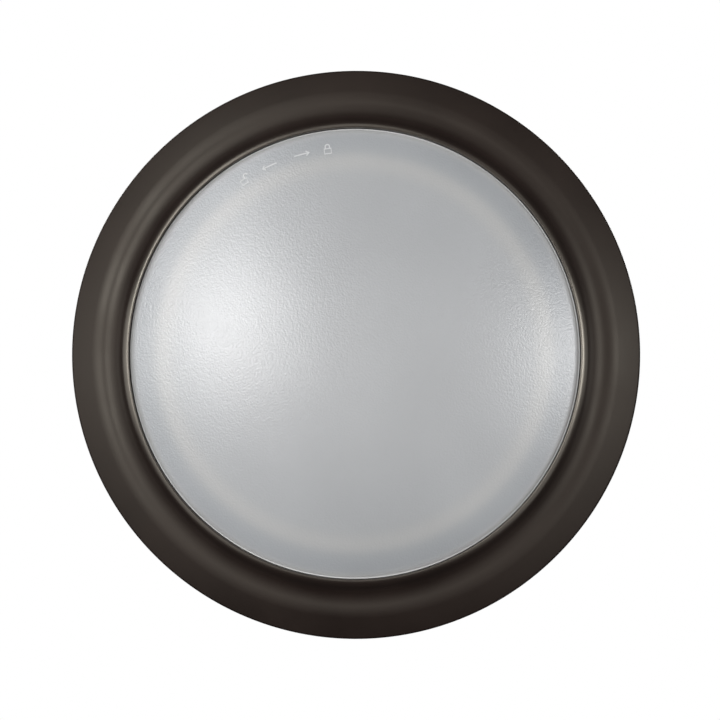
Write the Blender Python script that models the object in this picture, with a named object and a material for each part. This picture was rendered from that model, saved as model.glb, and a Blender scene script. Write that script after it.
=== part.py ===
"""Surface-mounted LED disk light with a twist-off frosted lens.

Everything is modelled in a face frame: x to the right, y up, z straight out of the wall, with its
origin at the middle of the mounting bar's back. One empty turns that frame so that the light hangs
on a wall and shines along -Y. A height below is a distance out of the wall, and an angle is counted
counter-clockwise as the light is seen from the front.
"""

import bmesh
import bpy
from math import atan2, cos, degrees, pi, radians, sin, tan
from mathutils import Matrix, Vector

MM = 0.001

# Driving dimensions.
RING_OUTER_RADIUS = 95.25 * MM     # trim ring at the wall: a 190.5 mm (7.5 in) light
RING_BAND = 20.35 * MM             # from the ring's outer edge in to its bore
RING_DRAFT = 0.2 * MM              # how far the outer side leans in
RING_EDGE_ROUND = 1.2 * MM
RING_SLOPE_TILT = 24.0             # degrees, of the slope inside the outer edge
RING_SLOPE_BAND = 7.25 * MM        # from the outer edge in to the top of the slope
RING_TERRACE_BAND = 11.4 * MM      # from the outer edge in to the level line of the terrace
RING_TERRACE_HEIGHT = 13.6 * MM
RING_CREST_RADIUS = 4.0 * MM       # of the crest beside the lens
RING_CREST_SET_IN = 0.5 * MM       # how far the crest's centre stands inside the bore
RING_BORE_ROUND = 0.4 * MM         # of the corner between the crest and the bore
RING_CREST_HEIGHT = 18.2 * MM      # top of the crest's circle
RING_WALL = 1.6 * MM
RING_LIFT = 0.6 * MM               # the ring's edge stays off the wall: the gasket meets it
RING_BOSS_RADIUS = 3.4 * MM
LENS_TOP_HEIGHT = 28.5 * MM        # middle of the dome: the light's depth
LENS_RIM_TOP = 16.8 * MM
LENS_WALL = 1.8 * MM
LENS_RIM_BAND = 10.5 * MM          # the thick rim around the dome's hollow
LENS_EDGE_ROLL = 1.1 * MM
LENS_EDGE_LEAN = 72.0              # degrees of the rolled edge, which ends where the dome starts
SKIRT_SET_BACK = 2.7 * MM          # from the lens's edge in to its skirt
EAR_REACH = 4.0 * MM               # how far the lens's ears reach in from its skirt
EAR_THICKNESS = 1.4 * MM
EAR_ANGLE = 10.0
EAR_ANGLES = (90.0, 210.0, 330.0)
LENS_TURN = 20.0                   # counter-clockwise, from closed to open
SEAL_THICKNESS = 1.0 * MM
GASKET_THICKNESS = 2.1 * MM
GASKET_BAND = 7.0 * MM
BAR_END = 5.0 * MM                 # from the keyhole screws out to the bar's ends
BAR_WIDTH = 24.0 * MM
BAR_THICKNESS = 1.5 * MM
BAR_CORNER = 5.0 * MM
BOX_SCREW_SPACING = 88.9 * MM      # 3.5 in, the ears of a 4 in electrical box
BOX_SLOT_HALF_WIDTH = 2.4 * MM
BOX_SLOT_REACH = 4.0 * MM          # from the slot's middle to the centre of its round end
BAR_GAP = 2.9 * MM                 # room for the box screws' heads between the bar and the pan
KEYHOLE_SET_BACK = 5.1 * MM        # from the lens's skirt in to the two keyhole screws
KEYHOLE_PAD_HALF_WIDTH = 7.5 * MM
FIXTURE_TURN = 12.0                # counter-clockwise, from locked to the keyholes' wide ends
GROUND_SCREW_OFFSET = 25.0 * MM
PAN_WALL = 1.6 * MM
PAN_STEP = 2.0 * MM
STOP_ANGLE = 3.0
RING_SCREW_ANGLES = (60.0, 180.0, 300.0)
RING_SCREW_SET_OUT = 3.3 * MM      # from the foot of the pan's step out to the ring's screws
RING_SCREW_GRIP = 7.0 * MM         # shank length below the head
GROMMET_OFFSET = 16.0 * MM         # the supply hole is below the middle, clear of the bar
GROMMET_BORE_RADIUS = 3.2 * MM
GROMMET_WALL = 1.1 * MM
GROMMET_FLANGE = 3.0 * MM
GROMMET_LIP = 1.2 * MM
LED_COUNT = 16
LED_LENGTH = 3.5 * MM
LED_WIDTH = 2.8 * MM
LED_HEIGHT = 0.8 * MM
LED_SET_OUT = 7.1 * MM             # from the reflector's inner edge out to the LEDs' circle
LED_WINDOW_GAP = 0.5 * MM
BOARD_THICKNESS = 1.6 * MM
BOARD_TO_COVER = 0.35 * MM         # between the LED board's hole and the driver cover's ears
PAD_THICKNESS = 0.5 * MM
PAD_MARGIN = 0.8 * MM
REFLECTOR_WALL = 0.6 * MM
REFLECTOR_RIM_HEIGHT = 4.0 * MM
REFLECTOR_SET_BACK = 7.0 * MM      # the strip of the LED board that it leaves free for screws
REFLECTOR_OVERHANG = 1.1 * MM      # past the LED board's outer edge
CLIP_STEEL = 0.5 * MM
CLIP_WIDTH = 8.0 * MM
CLIP_LIP = 0.7 * MM
DRIVER_COVER_RADIUS = 27.3 * MM
DRIVER_COVER_TOP = 20.6 * MM
DRIVER_COVER_WALL = 1.2 * MM
DRIVER_COVER_ROUND = 2.0 * MM
COVER_EAR_RADIUS = 3.2 * MM
COVER_EAR_THICKNESS = 2.0 * MM
COVER_SCREW_ANGLES = (45.0, 225.0)
BOARD_SCREW_ANGLES = (30.0, 150.0, 270.0)
TRAY_WALL = 0.6 * MM
TRAY_RIM = 0.9 * MM
TRAY_LEDGE = 1.7 * MM
TRAY_STAND_OFF = 2.0 * MM
LINK_WIDTH = 7.0 * MM
LINK_THICKNESS = 1.6 * MM
LINK_LEG = 3.6 * MM
LINK_SET_IN = 1.0 * MM             # from a board's edge in to the link's leg

# Screws: half the shank's width, half the head's width, and the head's height.
KEYHOLE_SCREW = (2.1 * MM, 4.0 * MM, 2.2 * MM)
RING_SCREW = (1.5 * MM, 2.8 * MM, 1.9 * MM)
SMALL_SCREW = (1.25 * MM, 2.25 * MM, 1.5 * MM)

# Clearances.
TOUCH = 0.3 * MM                   # between pieces that rest on each other
SCREW_FIT = 0.3 * MM               # a hole around a shank
TURN_GAP = 0.6 * MM                # between pieces that turn past each other
LENS_GAP = 0.3 * MM                # around the lens, in the ring's bore
THROUGH = 1.0 * MM                 # how far a cutting body runs past what it cuts

# Facets.
ROUND = 48
SMALL_ROUND = 16
SCREW_ROUND = 10

# Where the driving dimensions put things.
BORE_RADIUS = RING_OUTER_RADIUS - RING_BAND
LENS_RADIUS = BORE_RADIUS - LENS_GAP
LENS_RIM_BACK = LENS_RIM_TOP - LENS_WALL
SEAL_BACK = LENS_RIM_BACK - TOUCH - SEAL_THICKNESS
LEDGE_HEIGHT = SEAL_BACK - TOUCH
SKIRT_OUTER_RADIUS = LENS_RADIUS - SKIRT_SET_BACK
SKIRT_INNER_RADIUS = SKIRT_OUTER_RADIUS - LENS_WALL
LEG_INNER_RADIUS = SKIRT_OUTER_RADIUS + TURN_GAP
LEG_OUTER_RADIUS = LEG_INNER_RADIUS + RING_WALL
PAN_FLOOR_BACK = BAR_THICKNESS + BAR_GAP
PAN_FLOOR_TOP = PAN_FLOOR_BACK + PAN_WALL
PAN_FLOOR_MIDDLE = PAN_FLOOR_BACK + PAN_WALL / 2
FLANGE_BACK = GASKET_THICKNESS + TOUCH
FLANGE_TOP = FLANGE_BACK + PAN_WALL
PAN_RADIUS = RING_OUTER_RADIUS - RING_WALL - 2 * TURN_GAP
PAN_FLOOR_RADIUS = LEG_OUTER_RADIUS + TURN_GAP
PAN_STEP_RADIUS = PAN_FLOOR_RADIUS + PAN_STEP
RING_SCREW_RADIUS = PAN_STEP_RADIUS + RING_SCREW_SET_OUT
KEYHOLE_RADIUS = SKIRT_INNER_RADIUS - KEYHOLE_SET_BACK
ON_PAN = PAN_FLOOR_TOP + TOUCH
BOARD_BACK = ON_PAN + PAD_THICKNESS + TOUCH
BOARD_TOP = BOARD_BACK + BOARD_THICKNESS
ON_BOARD = BOARD_TOP + TOUCH
EAR_INNER_RADIUS = SKIRT_INNER_RADIUS - EAR_REACH
EAR_BACK = ON_PAN + KEYHOLE_SCREW[2] + TURN_GAP
EAR_TOP = EAR_BACK + EAR_THICKNESS
KEYHOLE_WIDE_RADIUS = KEYHOLE_SCREW[1] + 3 * SCREW_FIT
COVER_INNER_RADIUS = DRIVER_COVER_RADIUS - DRIVER_COVER_WALL
COVER_SCREW_RADIUS = DRIVER_COVER_RADIUS + SMALL_SCREW[1] + TOUCH
COVER_EAR_TOP = ON_PAN + COVER_EAR_THICKNESS
CLIP_RISER_RADIUS = EAR_INNER_RADIUS - TURN_GAP
CLIP_SCREW_RADIUS = CLIP_RISER_RADIUS - CLIP_STEEL - TOUCH - SMALL_SCREW[1]
CLIP_FOOT_RADIUS = CLIP_SCREW_RADIUS - SMALL_SCREW[1] - TOUCH
REFLECTOR_OUTER_RADIUS = CLIP_FOOT_RADIUS - TURN_GAP
LED_BOARD_OUTER_RADIUS = REFLECTOR_OUTER_RADIUS - REFLECTOR_OVERHANG
LED_BOARD_INNER_RADIUS = COVER_SCREW_RADIUS + COVER_EAR_RADIUS + BOARD_TO_COVER
REFLECTOR_INNER_RADIUS = LED_BOARD_INNER_RADIUS + REFLECTOR_SET_BACK
LED_CIRCLE_RADIUS = REFLECTOR_INNER_RADIUS + LED_SET_OUT
BOARD_SCREW_RADIUS = LED_BOARD_INNER_RADIUS + REFLECTOR_SET_BACK / 2
TRAY_RADIUS = COVER_INNER_RADIUS - TOUCH
TRAY_LEDGE_HEIGHT = ON_PAN + TRAY_STAND_OFF
DRIVER_BOARD_RADIUS = TRAY_RADIUS - TRAY_RIM - TOUCH
DRIVER_BOARD_BACK = TRAY_LEDGE_HEIGHT + TOUCH
DRIVER_BOARD_TOP = DRIVER_BOARD_BACK + BOARD_THICKNESS
ON_DRIVER_BOARD = DRIVER_BOARD_TOP + TOUCH
LINK_TOP = ON_DRIVER_BOARD + LINK_THICKNESS
GROMMET_FLANGE_RADIUS = GROMMET_BORE_RADIUS + GROMMET_FLANGE
GROMMET_NECK_RADIUS = GROMMET_BORE_RADIUS + GROMMET_WALL
LED_ANGLES = [(number + 0.5) * 360.0 / LED_COUNT for number in range(LED_COUNT)]


def finish(name, colour, roughness, metallic=0.0):
    """A plain finish, shared by the pieces that are made of it."""
    material = bpy.data.materials.new(name)
    material.use_nodes = True
    shader = material.node_tree.nodes["Principled BSDF"]
    shader.inputs["Base Color"].default_value = (*colour, 1.0)
    shader.inputs["Roughness"].default_value = roughness
    shader.inputs["Metallic"].default_value = metallic
    return material


def frame_empty(name, parent=None):
    empty = bpy.data.objects.new(name, None)
    empty.empty_display_size = 0.02
    empty.parent = parent
    bpy.context.scene.collection.objects.link(empty)
    return empty


def add_piece(name, mesh, material, parent):
    """One object for a piece, with its round faces smooth and its edges sharp."""
    mesh.shade_smooth()
    mesh.set_sharp_from_angle(angle=radians(35))
    mesh.materials.append(material)
    piece = bpy.data.objects.new(name, mesh)
    piece.parent = parent
    bpy.context.scene.collection.objects.link(piece)
    return piece


def mesh_from(bm, name):
    bmesh.ops.recalc_face_normals(bm, faces=bm.faces)
    mesh = bpy.data.meshes.new(name)
    bm.to_mesh(mesh)
    bm.free()
    return mesh


def on_circle(radius, angle, height=0.0):
    return Vector((radius * cos(radians(angle)), radius * sin(radians(angle)), height))


def arc(centre, radius, start, end, steps):
    """Points on an arc in the plane of an outline, ends included."""
    turn = (end - start) / steps
    angles = [radians(start + turn * i) for i in range(steps + 1)]
    return [(centre[0] + radius * cos(a), centre[1] + radius * sin(a)) for a in angles]


def revolve(bm, outline, sides, centre=(0.0, 0.0)):
    """Turns a closed (radius, height) outline into a solid around an upright axis."""
    rings = []
    for radius, height in outline:
        if radius <= 0.0:
            rings.append([bm.verts.new((centre[0], centre[1], height))])
            continue
        turns = [2 * pi * i / sides for i in range(sides)]
        rings.append([
            bm.verts.new((centre[0] + radius * cos(t), centre[1] + radius * sin(t), height))
            for t in turns
        ])
    for ring, after in zip(rings, rings[1:] + rings[:1]):
        if len(ring) == 1 and len(after) == 1:
            continue
        for i in range(sides):
            j = (i + 1) % sides
            corners = [ring[i % len(ring)], ring[j % len(ring)]]
            corners += [after[j % len(after)], after[i % len(after)]]
            bm.faces.new(list(dict.fromkeys(corners)))


def turned(name, outline, material, parent, sides=ROUND, centre=(0.0, 0.0)):
    bm = bmesh.new()
    revolve(bm, outline, sides, centre)
    return add_piece(name, mesh_from(bm, name), material, parent)


def extrude_outline(bm, outline, low, high):
    """A prism of a flat outline, between two heights."""
    base = [bm.verts.new((x, y, low)) for x, y in outline]
    top = [bm.verts.new((x, y, high)) for x, y in outline]
    bm.faces.new(base[::-1])
    bm.faces.new(top)
    for i in range(len(outline)):
        j = (i + 1) % len(outline)
        bm.faces.new((base[i], base[j], top[j], top[i]))


def prism(name, outline, low, high, material, parent):
    bm = bmesh.new()
    extrude_outline(bm, outline, low, high)
    return add_piece(name, mesh_from(bm, name), material, parent)


def rectangle(centre_x, centre_y, width, depth):
    x, y = width / 2, depth / 2
    return [(centre_x + i * x, centre_y + j * y) for i, j in ((-1, -1), (1, -1), (1, 1), (-1, 1))]


def turned_rectangle(radius, angle, radial, across):
    """A rectangle at a place on a circle, with its length along the radius."""
    out = Vector((cos(radians(angle)), sin(radians(angle))))
    side = Vector((-out.y, out.x))
    middle = out * radius
    corners = ((-1, -1), (1, -1), (1, 1), (-1, 1))
    points = [middle + out * (i * radial / 2) + side * (j * across / 2) for i, j in corners]
    return [(p.x, p.y) for p in points]


def circle(centre, radius, sides):
    """A round hole's outline, begun off the axes so that no corner meets a facet's edge."""
    return arc(centre, radius, 5.0, 365.0, sides)[:-1]


def ring_sector(inner, outer, start, end, steps):
    """A flat stretch of a ring between two angles."""
    return arc((0, 0), outer, start, end, steps) + arc((0, 0), inner, end, start, steps)


def capsule_on_circle(radius, half_width, start, end, steps):
    """A slot that follows a circle, with round ends."""
    tip = on_circle(radius, end)
    tail = on_circle(radius, start)
    points = arc((0, 0), radius + half_width, start, end, steps)
    points += arc(tip, half_width, end, end + 180.0, 6)[1:-1]
    points += arc((0, 0), radius - half_width, end, start, steps)
    points += arc(tail, half_width, start + 180.0, start + 360.0, 6)[1:-1]
    return points


def tool_body(name, fill, parent):
    """A body that only shapes another piece: it isn't part of the light."""
    bm = bmesh.new()
    fill(bm)
    piece = bpy.data.objects.new(name, mesh_from(bm, name))
    piece.parent = parent
    piece.hide_render = True
    piece.display_type = "WIRE"
    bpy.context.scene.collection.objects.link(piece)
    return piece


def shape_with(piece, operation, fill):
    """Joins a body to a piece (UNION) or cuts it away (DIFFERENCE)."""
    tool = tool_body(f"{piece.name}_{operation.lower()}", fill, piece.parent)
    boolean = piece.modifiers.new(operation.title(), "BOOLEAN")
    boolean.operation = operation
    boolean.solver = "EXACT"
    boolean.object = tool


def holes_at(bm, radius, angles, half_width, low, high):
    """Round holes on a circle, each with a clearance around its screw."""
    for angle in angles:
        outline = circle(on_circle(radius, angle), half_width + SCREW_FIT, SCREW_ROUND)
        extrude_outline(bm, outline, low, high)


def screw(name, centre, seat, length, sizes, material, parent, way=1.0):
    """A pan-head screw with its head on a face at the height seat, and a driver's recess in it.

    way is 1 for a head that looks out of the wall, and -1 for one that looks at the wall.
    """
    shank, head, head_height = sizes
    recess = head * 0.42
    outline = [
        (0.0, -length),
        (shank, -length),
        (shank, 0.0),
        (head, 0.0),
        (head, head_height * 0.5),
        (recess, head_height),
        (0.0, head_height * 0.4),
    ]
    outline = [(radius, seat + way * height) for radius, height in outline]
    return turned(name, outline, material, parent, SCREW_ROUND, centre)


def build_trim_ring(material, parent):
    """The hollow moulded ring: outer side, slope, terrace, cove and crest, and a ledge for the seal.

    The terrace's curve meets the slope at the slope's own tilt, and the cove touches both the
    terrace's level line and the crest, so the face is one smooth line from edge to bore.
    """
    edge = RING_OUTER_RADIUS - RING_DRAFT
    tilt = radians(RING_SLOPE_TILT)
    slope_top = RING_OUTER_RADIUS - RING_SLOPE_BAND
    terrace = RING_OUTER_RADIUS - RING_TERRACE_BAND
    terrace_radius = (slope_top - terrace) / sin(tilt)
    terrace_centre = (terrace, RING_TERRACE_HEIGHT - terrace_radius)
    slope_height = terrace_centre[1] + terrace_radius * cos(tilt)
    lean = 90.0 - RING_SLOPE_TILT
    edge_x = edge - RING_EDGE_ROUND * (1 - cos(radians(lean)))
    edge_z = slope_height - (edge_x - slope_top) * tan(tilt)
    edge_centre = (edge - RING_EDGE_ROUND, edge_z - RING_EDGE_ROUND * sin(radians(lean)))
    crest = RING_CREST_RADIUS
    bore_round = RING_BORE_ROUND
    crest_centre = (BORE_RADIUS - RING_CREST_SET_IN, RING_CREST_HEIGHT - crest)
    round_run = RING_CREST_SET_IN + bore_round
    round_rise = ((crest - bore_round) ** 2 - round_run**2) ** 0.5
    round_centre = (BORE_RADIUS + bore_round, crest_centre[1] + round_rise)
    touch = degrees(atan2(round_rise, round_run))
    run = terrace - crest_centre[0]
    drop = crest_centre[1] - RING_TERRACE_HEIGHT
    cove_radius = (run**2 + drop**2 - crest**2) / (2 * (crest + drop))
    cove_centre = (terrace, RING_TERRACE_HEIGHT + cove_radius)
    meet = degrees(atan2(cove_radius - drop, run))
    face = [(RING_OUTER_RADIUS, RING_LIFT)]
    face += arc(edge_centre, RING_EDGE_ROUND, 0.0, lean, 2)
    face += arc(terrace_centre, terrace_radius, lean, 90.0, 2)[:-1]
    face += arc(cove_centre, cove_radius, 270.0, 180.0 + meet, 4)
    face += arc(crest_centre, crest, meet, touch, 3)[1:]
    face += arc(round_centre, bore_round, touch, 180.0, 2)[1:]
    face += [(BORE_RADIUS, LEDGE_HEIGHT), (LEG_INNER_RADIUS, LEDGE_HEIGHT)]
    face += [(LEG_INNER_RADIUS, ON_PAN), (LEG_OUTER_RADIUS, ON_PAN)]
    under_cove = cove_radius + RING_WALL
    inner_x = BORE_RADIUS + RING_WALL
    inner_angle = degrees(atan2((under_cove**2 - (terrace - inner_x) ** 2) ** 0.5, terrace - inner_x))
    under_slope = slope_height - (edge - RING_WALL - slope_top) * tan(tilt) - RING_WALL / cos(tilt)
    hollow = [(LEG_OUTER_RADIUS, LEDGE_HEIGHT - RING_WALL), (inner_x, LEDGE_HEIGHT)]
    hollow += arc(cove_centre, under_cove, 180.0 + inner_angle, 270.0, 2)
    hollow += arc(terrace_centre, terrace_radius - RING_WALL, 90.0, lean, 1)[1:]
    hollow += [(edge - RING_WALL, under_slope), (RING_OUTER_RADIUS - RING_WALL, RING_LIFT)]
    ring = turned("trim_ring", face + hollow, material, parent)
    boss_top = RING_TERRACE_HEIGHT - RING_WALL / 4

    def bosses(bm):
        for angle in RING_SCREW_ANGLES:
            outline = circle(on_circle(RING_SCREW_RADIUS, angle), RING_BOSS_RADIUS, SCREW_ROUND)
            extrude_outline(bm, outline, FLANGE_TOP + TOUCH, boss_top)

    def pilot_holes(bm):
        depth = FLANGE_BACK + RING_SCREW_GRIP + THROUGH
        holes_at(bm, RING_SCREW_RADIUS, RING_SCREW_ANGLES, RING_SCREW[0], 0.0, depth)

    shape_with(ring, "UNION", bosses)
    shape_with(ring, "DIFFERENCE", pilot_holes)


def build_lens(material, parent):
    """The lens: a dome out to a rolled edge, a thick rim, and a skirt whose ears turn under the clips."""
    roll = LENS_EDGE_ROLL
    lean = radians(LENS_EDGE_LEAN)
    dome_foot = LENS_RADIUS - roll * (1 - cos(lean))
    sag = LENS_TOP_HEIGHT - LENS_RIM_TOP + roll * (1 - sin(lean))
    sphere = (dome_foot**2 + sag**2) / (2 * sag)
    hollow_foot = LENS_RADIUS - LENS_RIM_BAND - LENS_WALL

    def dome(top, radius, reach, steps):
        radii = [reach * (1 - i / steps) for i in range(steps + 1)]
        return [(r, top - radius + (radius**2 - r**2) ** 0.5) for r in radii]

    outline = [(LENS_RADIUS, LENS_RIM_BACK)]
    outline += arc((LENS_RADIUS - roll, LENS_RIM_TOP - roll), roll, 0.0, LENS_EDGE_LEAN, 2)[:-1]
    outline += dome(LENS_TOP_HEIGHT, sphere, dome_foot, 8)
    outline += dome(LENS_TOP_HEIGHT - LENS_WALL, sphere - LENS_WALL, hollow_foot, 5)[::-1]
    outline += [(hollow_foot + LENS_WALL, LENS_RIM_BACK)]
    outline += [(SKIRT_INNER_RADIUS, LENS_RIM_BACK), (SKIRT_INNER_RADIUS, EAR_BACK)]
    outline += [(SKIRT_OUTER_RADIUS, EAR_BACK), (SKIRT_OUTER_RADIUS, LENS_RIM_BACK)]
    lens = turned("lens", outline, material, parent)

    def ears(bm):
        half = EAR_ANGLE / 2
        reach = SKIRT_INNER_RADIUS + LENS_WALL / 2
        for angle in EAR_ANGLES:
            sector = ring_sector(EAR_INNER_RADIUS, reach, angle - half, angle + half, 3)
            extrude_outline(bm, sector, EAR_BACK + TOUCH / 3, EAR_TOP)

    shape_with(lens, "UNION", ears)


def build_ring_of(name, inner, outer, low, high, material, parent):
    """A flat ring of one material, such as the seal and the gasket."""
    outline = [(inner, low), (outer, low), (outer, high), (inner, high)]
    return turned(name, outline, material, parent)


def build_pan(material, parent):
    """The pressed pan: raised floor, stepped flange, keyhole pads, screw holes and ear stops."""
    outline = [(0.0, PAN_FLOOR_BACK), (PAN_FLOOR_RADIUS, PAN_FLOOR_BACK)]
    outline += [(PAN_STEP_RADIUS, FLANGE_BACK), (PAN_RADIUS, FLANGE_BACK)]
    outline += [(PAN_RADIUS, FLANGE_TOP), (PAN_STEP_RADIUS + TOUCH, FLANGE_TOP)]
    outline += [(PAN_FLOOR_RADIUS + TOUCH, PAN_FLOOR_TOP), (0.0, PAN_FLOOR_TOP)]
    pan = turned("housing_pan", outline, material, parent)
    keyholes = (0.0, 180.0)
    low, high = 0.0, PAN_FLOOR_TOP + THROUGH

    def pads_and_stops(bm):
        for turn in keyholes:
            pad = capsule_on_circle(KEYHOLE_RADIUS, KEYHOLE_PAD_HALF_WIDTH, turn - FIXTURE_TURN, turn, 4)
            extrude_outline(bm, pad, BAR_THICKNESS + TOUCH, PAN_FLOOR_MIDDLE)
        half = EAR_ANGLE / 2 + degrees(TOUCH / EAR_INNER_RADIUS)
        stops = [angle - half - STOP_ANGLE for angle in EAR_ANGLES]
        stops.append(EAR_ANGLES[0] + LENS_TURN + half)
        reach = SKIRT_INNER_RADIUS - TURN_GAP
        for start in stops:
            sector = ring_sector(EAR_INNER_RADIUS, reach, start, start + STOP_ANGLE, 1)
            extrude_outline(bm, sector, PAN_FLOOR_MIDDLE, EAR_TOP)

    def slots_and_holes(bm):
        slot = KEYHOLE_SCREW[0] + SCREW_FIT
        for turn in keyholes:
            outline = capsule_on_circle(KEYHOLE_RADIUS, slot, turn - FIXTURE_TURN, turn, 4)
            extrude_outline(bm, outline, low, high)
        supply = circle((0.0, -GROMMET_OFFSET), GROMMET_NECK_RADIUS + SCREW_FIT, SMALL_ROUND)
        extrude_outline(bm, supply, low, high)
        holes_at(bm, CLIP_SCREW_RADIUS, EAR_ANGLES, SMALL_SCREW[0], low, high)
        holes_at(bm, COVER_SCREW_RADIUS, COVER_SCREW_ANGLES, SMALL_SCREW[0], low, high)
        holes_at(bm, BOARD_SCREW_RADIUS, BOARD_SCREW_ANGLES, SMALL_SCREW[0], low, high)
        holes_at(bm, RING_SCREW_RADIUS, RING_SCREW_ANGLES, RING_SCREW[0], low, high)

    def wide_ends(bm):
        for turn in keyholes:
            centre = on_circle(KEYHOLE_RADIUS, turn - FIXTURE_TURN)
            extrude_outline(bm, circle(centre, KEYHOLE_WIDE_RADIUS, SMALL_ROUND), low, high)

    shape_with(pan, "UNION", pads_and_stops)
    shape_with(pan, "DIFFERENCE", slots_and_holes)
    shape_with(pan, "DIFFERENCE", wide_ends)


def build_bar(material, parent):
    """The steel bar: round corners, two slots for the box's screws and three threaded holes."""
    x, y = KEYHOLE_RADIUS + BAR_END - BAR_CORNER, BAR_WIDTH / 2 - BAR_CORNER
    outline = []
    for i, j, start in ((1, 1, 0), (-1, 1, 90), (-1, -1, 180), (1, -1, 270)):
        outline += arc((i * x, j * y), BAR_CORNER, start, start + 90, 3)
    bar = prism("mounting_bar", outline, 0.0, BAR_THICKNESS, material, parent)

    def holes(bm):
        low, high = -THROUGH, BAR_THICKNESS + THROUGH
        thread = KEYHOLE_SCREW[0] + SCREW_FIT
        for side in (-1, 1):
            middle = side * BOX_SCREW_SPACING / 2
            slot = arc((middle + BOX_SLOT_REACH, 0), BOX_SLOT_HALF_WIDTH, -90, 90, 4)
            slot += arc((middle - BOX_SLOT_REACH, 0), BOX_SLOT_HALF_WIDTH, 90, 270, 4)
            extrude_outline(bm, slot, low, high)
            extrude_outline(bm, circle((side * KEYHOLE_RADIUS, 0), thread, SCREW_ROUND), low, high)
        extrude_outline(bm, circle((-GROUND_SCREW_OFFSET, 0), thread, SCREW_ROUND), low, high)

    shape_with(bar, "DIFFERENCE", holes)


def build_bar_screws(steel, green, parent):
    """Two keyhole screws that the pan hangs on, and the earth screw, threaded into the bar.

    Their ends stop just short of the bar's back, which lies flat on the electrical box.
    """
    end = TOUCH / 2
    for number, side in enumerate((1, -1), 1):
        place = (side * KEYHOLE_RADIUS, 0.0)
        screw(f"keyhole_screw_{number}", place, ON_PAN, ON_PAN - end, KEYHOLE_SCREW, steel, parent)
    seat = BAR_THICKNESS + TOUCH
    earth = (KEYHOLE_SCREW[0], KEYHOLE_SCREW[1], BAR_GAP - TOUCH - TURN_GAP)
    screw("ground_screw", (-GROUND_SCREW_OFFSET, 0.0), seat, seat - end, earth, green, parent)


def build_led_board(board_finish, pad_finish, parent):
    """The ring-shaped board on its heat pad, with the holes for its three screws."""
    inner, outer = LED_BOARD_INNER_RADIUS, LED_BOARD_OUTER_RADIUS
    pad = build_ring_of("thermal_pad", inner + PAD_MARGIN, outer - PAD_MARGIN, ON_PAN,
                        ON_PAN + PAD_THICKNESS, pad_finish, parent)
    board = build_ring_of("led_board", inner, outer, BOARD_BACK, BOARD_TOP, board_finish, parent)

    def holes(bm):
        holes_at(bm, BOARD_SCREW_RADIUS, BOARD_SCREW_ANGLES, SMALL_SCREW[0], 0.0, ON_BOARD + THROUGH)

    shape_with(pad, "DIFFERENCE", holes)
    shape_with(board, "DIFFERENCE", holes)


def led_mesh(name):
    """A white package with a sunken window on its face."""
    bm = bmesh.new()
    size = (LED_WIDTH, LED_LENGTH, LED_HEIGHT)
    bmesh.ops.create_cube(bm, size=1.0, matrix=Matrix.Diagonal((*size, 1.0)))
    top = max(bm.faces, key=lambda face: face.calc_center_median().z)
    bmesh.ops.inset_region(bm, faces=[top], thickness=LED_HEIGHT * 0.45)
    bmesh.ops.translate(bm, verts=top.verts, vec=(0, 0, -LED_HEIGHT * 0.2))
    return mesh_from(bm, name)


def build_leds(material, parent):
    for number, angle in enumerate(LED_ANGLES, 1):
        name = f"led_{number:02d}"
        led = add_piece(name, led_mesh(name), material, parent)
        led.location = on_circle(LED_CIRCLE_RADIUS, angle, ON_BOARD + LED_HEIGHT / 2)
        led.rotation_euler.z = radians(angle)


def build_reflector(material, parent):
    """The white sheet that lies on the LED board, with a window for each LED and a raised rim."""
    inner, outer = REFLECTOR_INNER_RADIUS, REFLECTOR_OUTER_RADIUS
    lean = REFLECTOR_RIM_HEIGHT / 4
    top = ON_BOARD + REFLECTOR_WALL
    rim_top = ON_BOARD + REFLECTOR_RIM_HEIGHT
    outline = [(inner, ON_BOARD), (outer - lean, ON_BOARD), (outer, rim_top)]
    outline += [(outer - REFLECTOR_WALL, rim_top), (outer - lean - REFLECTOR_WALL, top), (inner, top)]
    reflector = turned("reflector", outline, material, parent)

    def windows(bm):
        gap = 2 * LED_WINDOW_GAP
        for angle in LED_ANGLES:
            window = turned_rectangle(LED_CIRCLE_RADIUS, angle, LED_WIDTH + gap, LED_LENGTH + gap)
            extrude_outline(bm, window, ON_BOARD - THROUGH, top + THROUGH)

    shape_with(reflector, "DIFFERENCE", windows)


def stand_on_edge(bm):
    """Turns a side view, drawn as (radius, height) and extruded sideways, upright along +x."""
    bmesh.ops.rotate(bm, verts=bm.verts, matrix=Matrix.Rotation(pi / 2, 3, "X"))


def build_spring_clips(material, parent):
    """Bent spring steel strips, screwed to the pan, whose hooks reach over the lens's ears."""
    riser = CLIP_RISER_RADIUS
    hook = EAR_TOP + TOUCH
    reach = SKIRT_INNER_RADIUS - 2 * CLIP_LIP
    steel = CLIP_STEEL
    outline = [
        (CLIP_FOOT_RADIUS, ON_PAN),
        (riser, ON_PAN),
        (riser, hook),
        (reach, hook),
        (reach + CLIP_LIP, hook + CLIP_LIP),
        (reach + CLIP_LIP - steel / 2, hook + CLIP_LIP + steel),
        (reach - steel / 2, hook + steel),
        (riser - steel, hook + steel),
        (riser - steel, ON_PAN + steel),
        (CLIP_FOOT_RADIUS, ON_PAN + steel),
    ]

    def hole(bm):
        holes_at(bm, CLIP_SCREW_RADIUS, (0.0,), SMALL_SCREW[0], ON_PAN - THROUGH, ON_PAN + steel + THROUGH)

    for number, angle in enumerate(EAR_ANGLES, 1):
        name = f"spring_clip_{number}"
        bm = bmesh.new()
        extrude_outline(bm, outline, -CLIP_WIDTH / 2, CLIP_WIDTH / 2)
        stand_on_edge(bm)
        turn = frame_empty(f"{name}_place", parent)
        turn.rotation_euler.z = radians(angle)
        shape_with(add_piece(name, mesh_from(bm, name), material, turn), "DIFFERENCE", hole)


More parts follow.
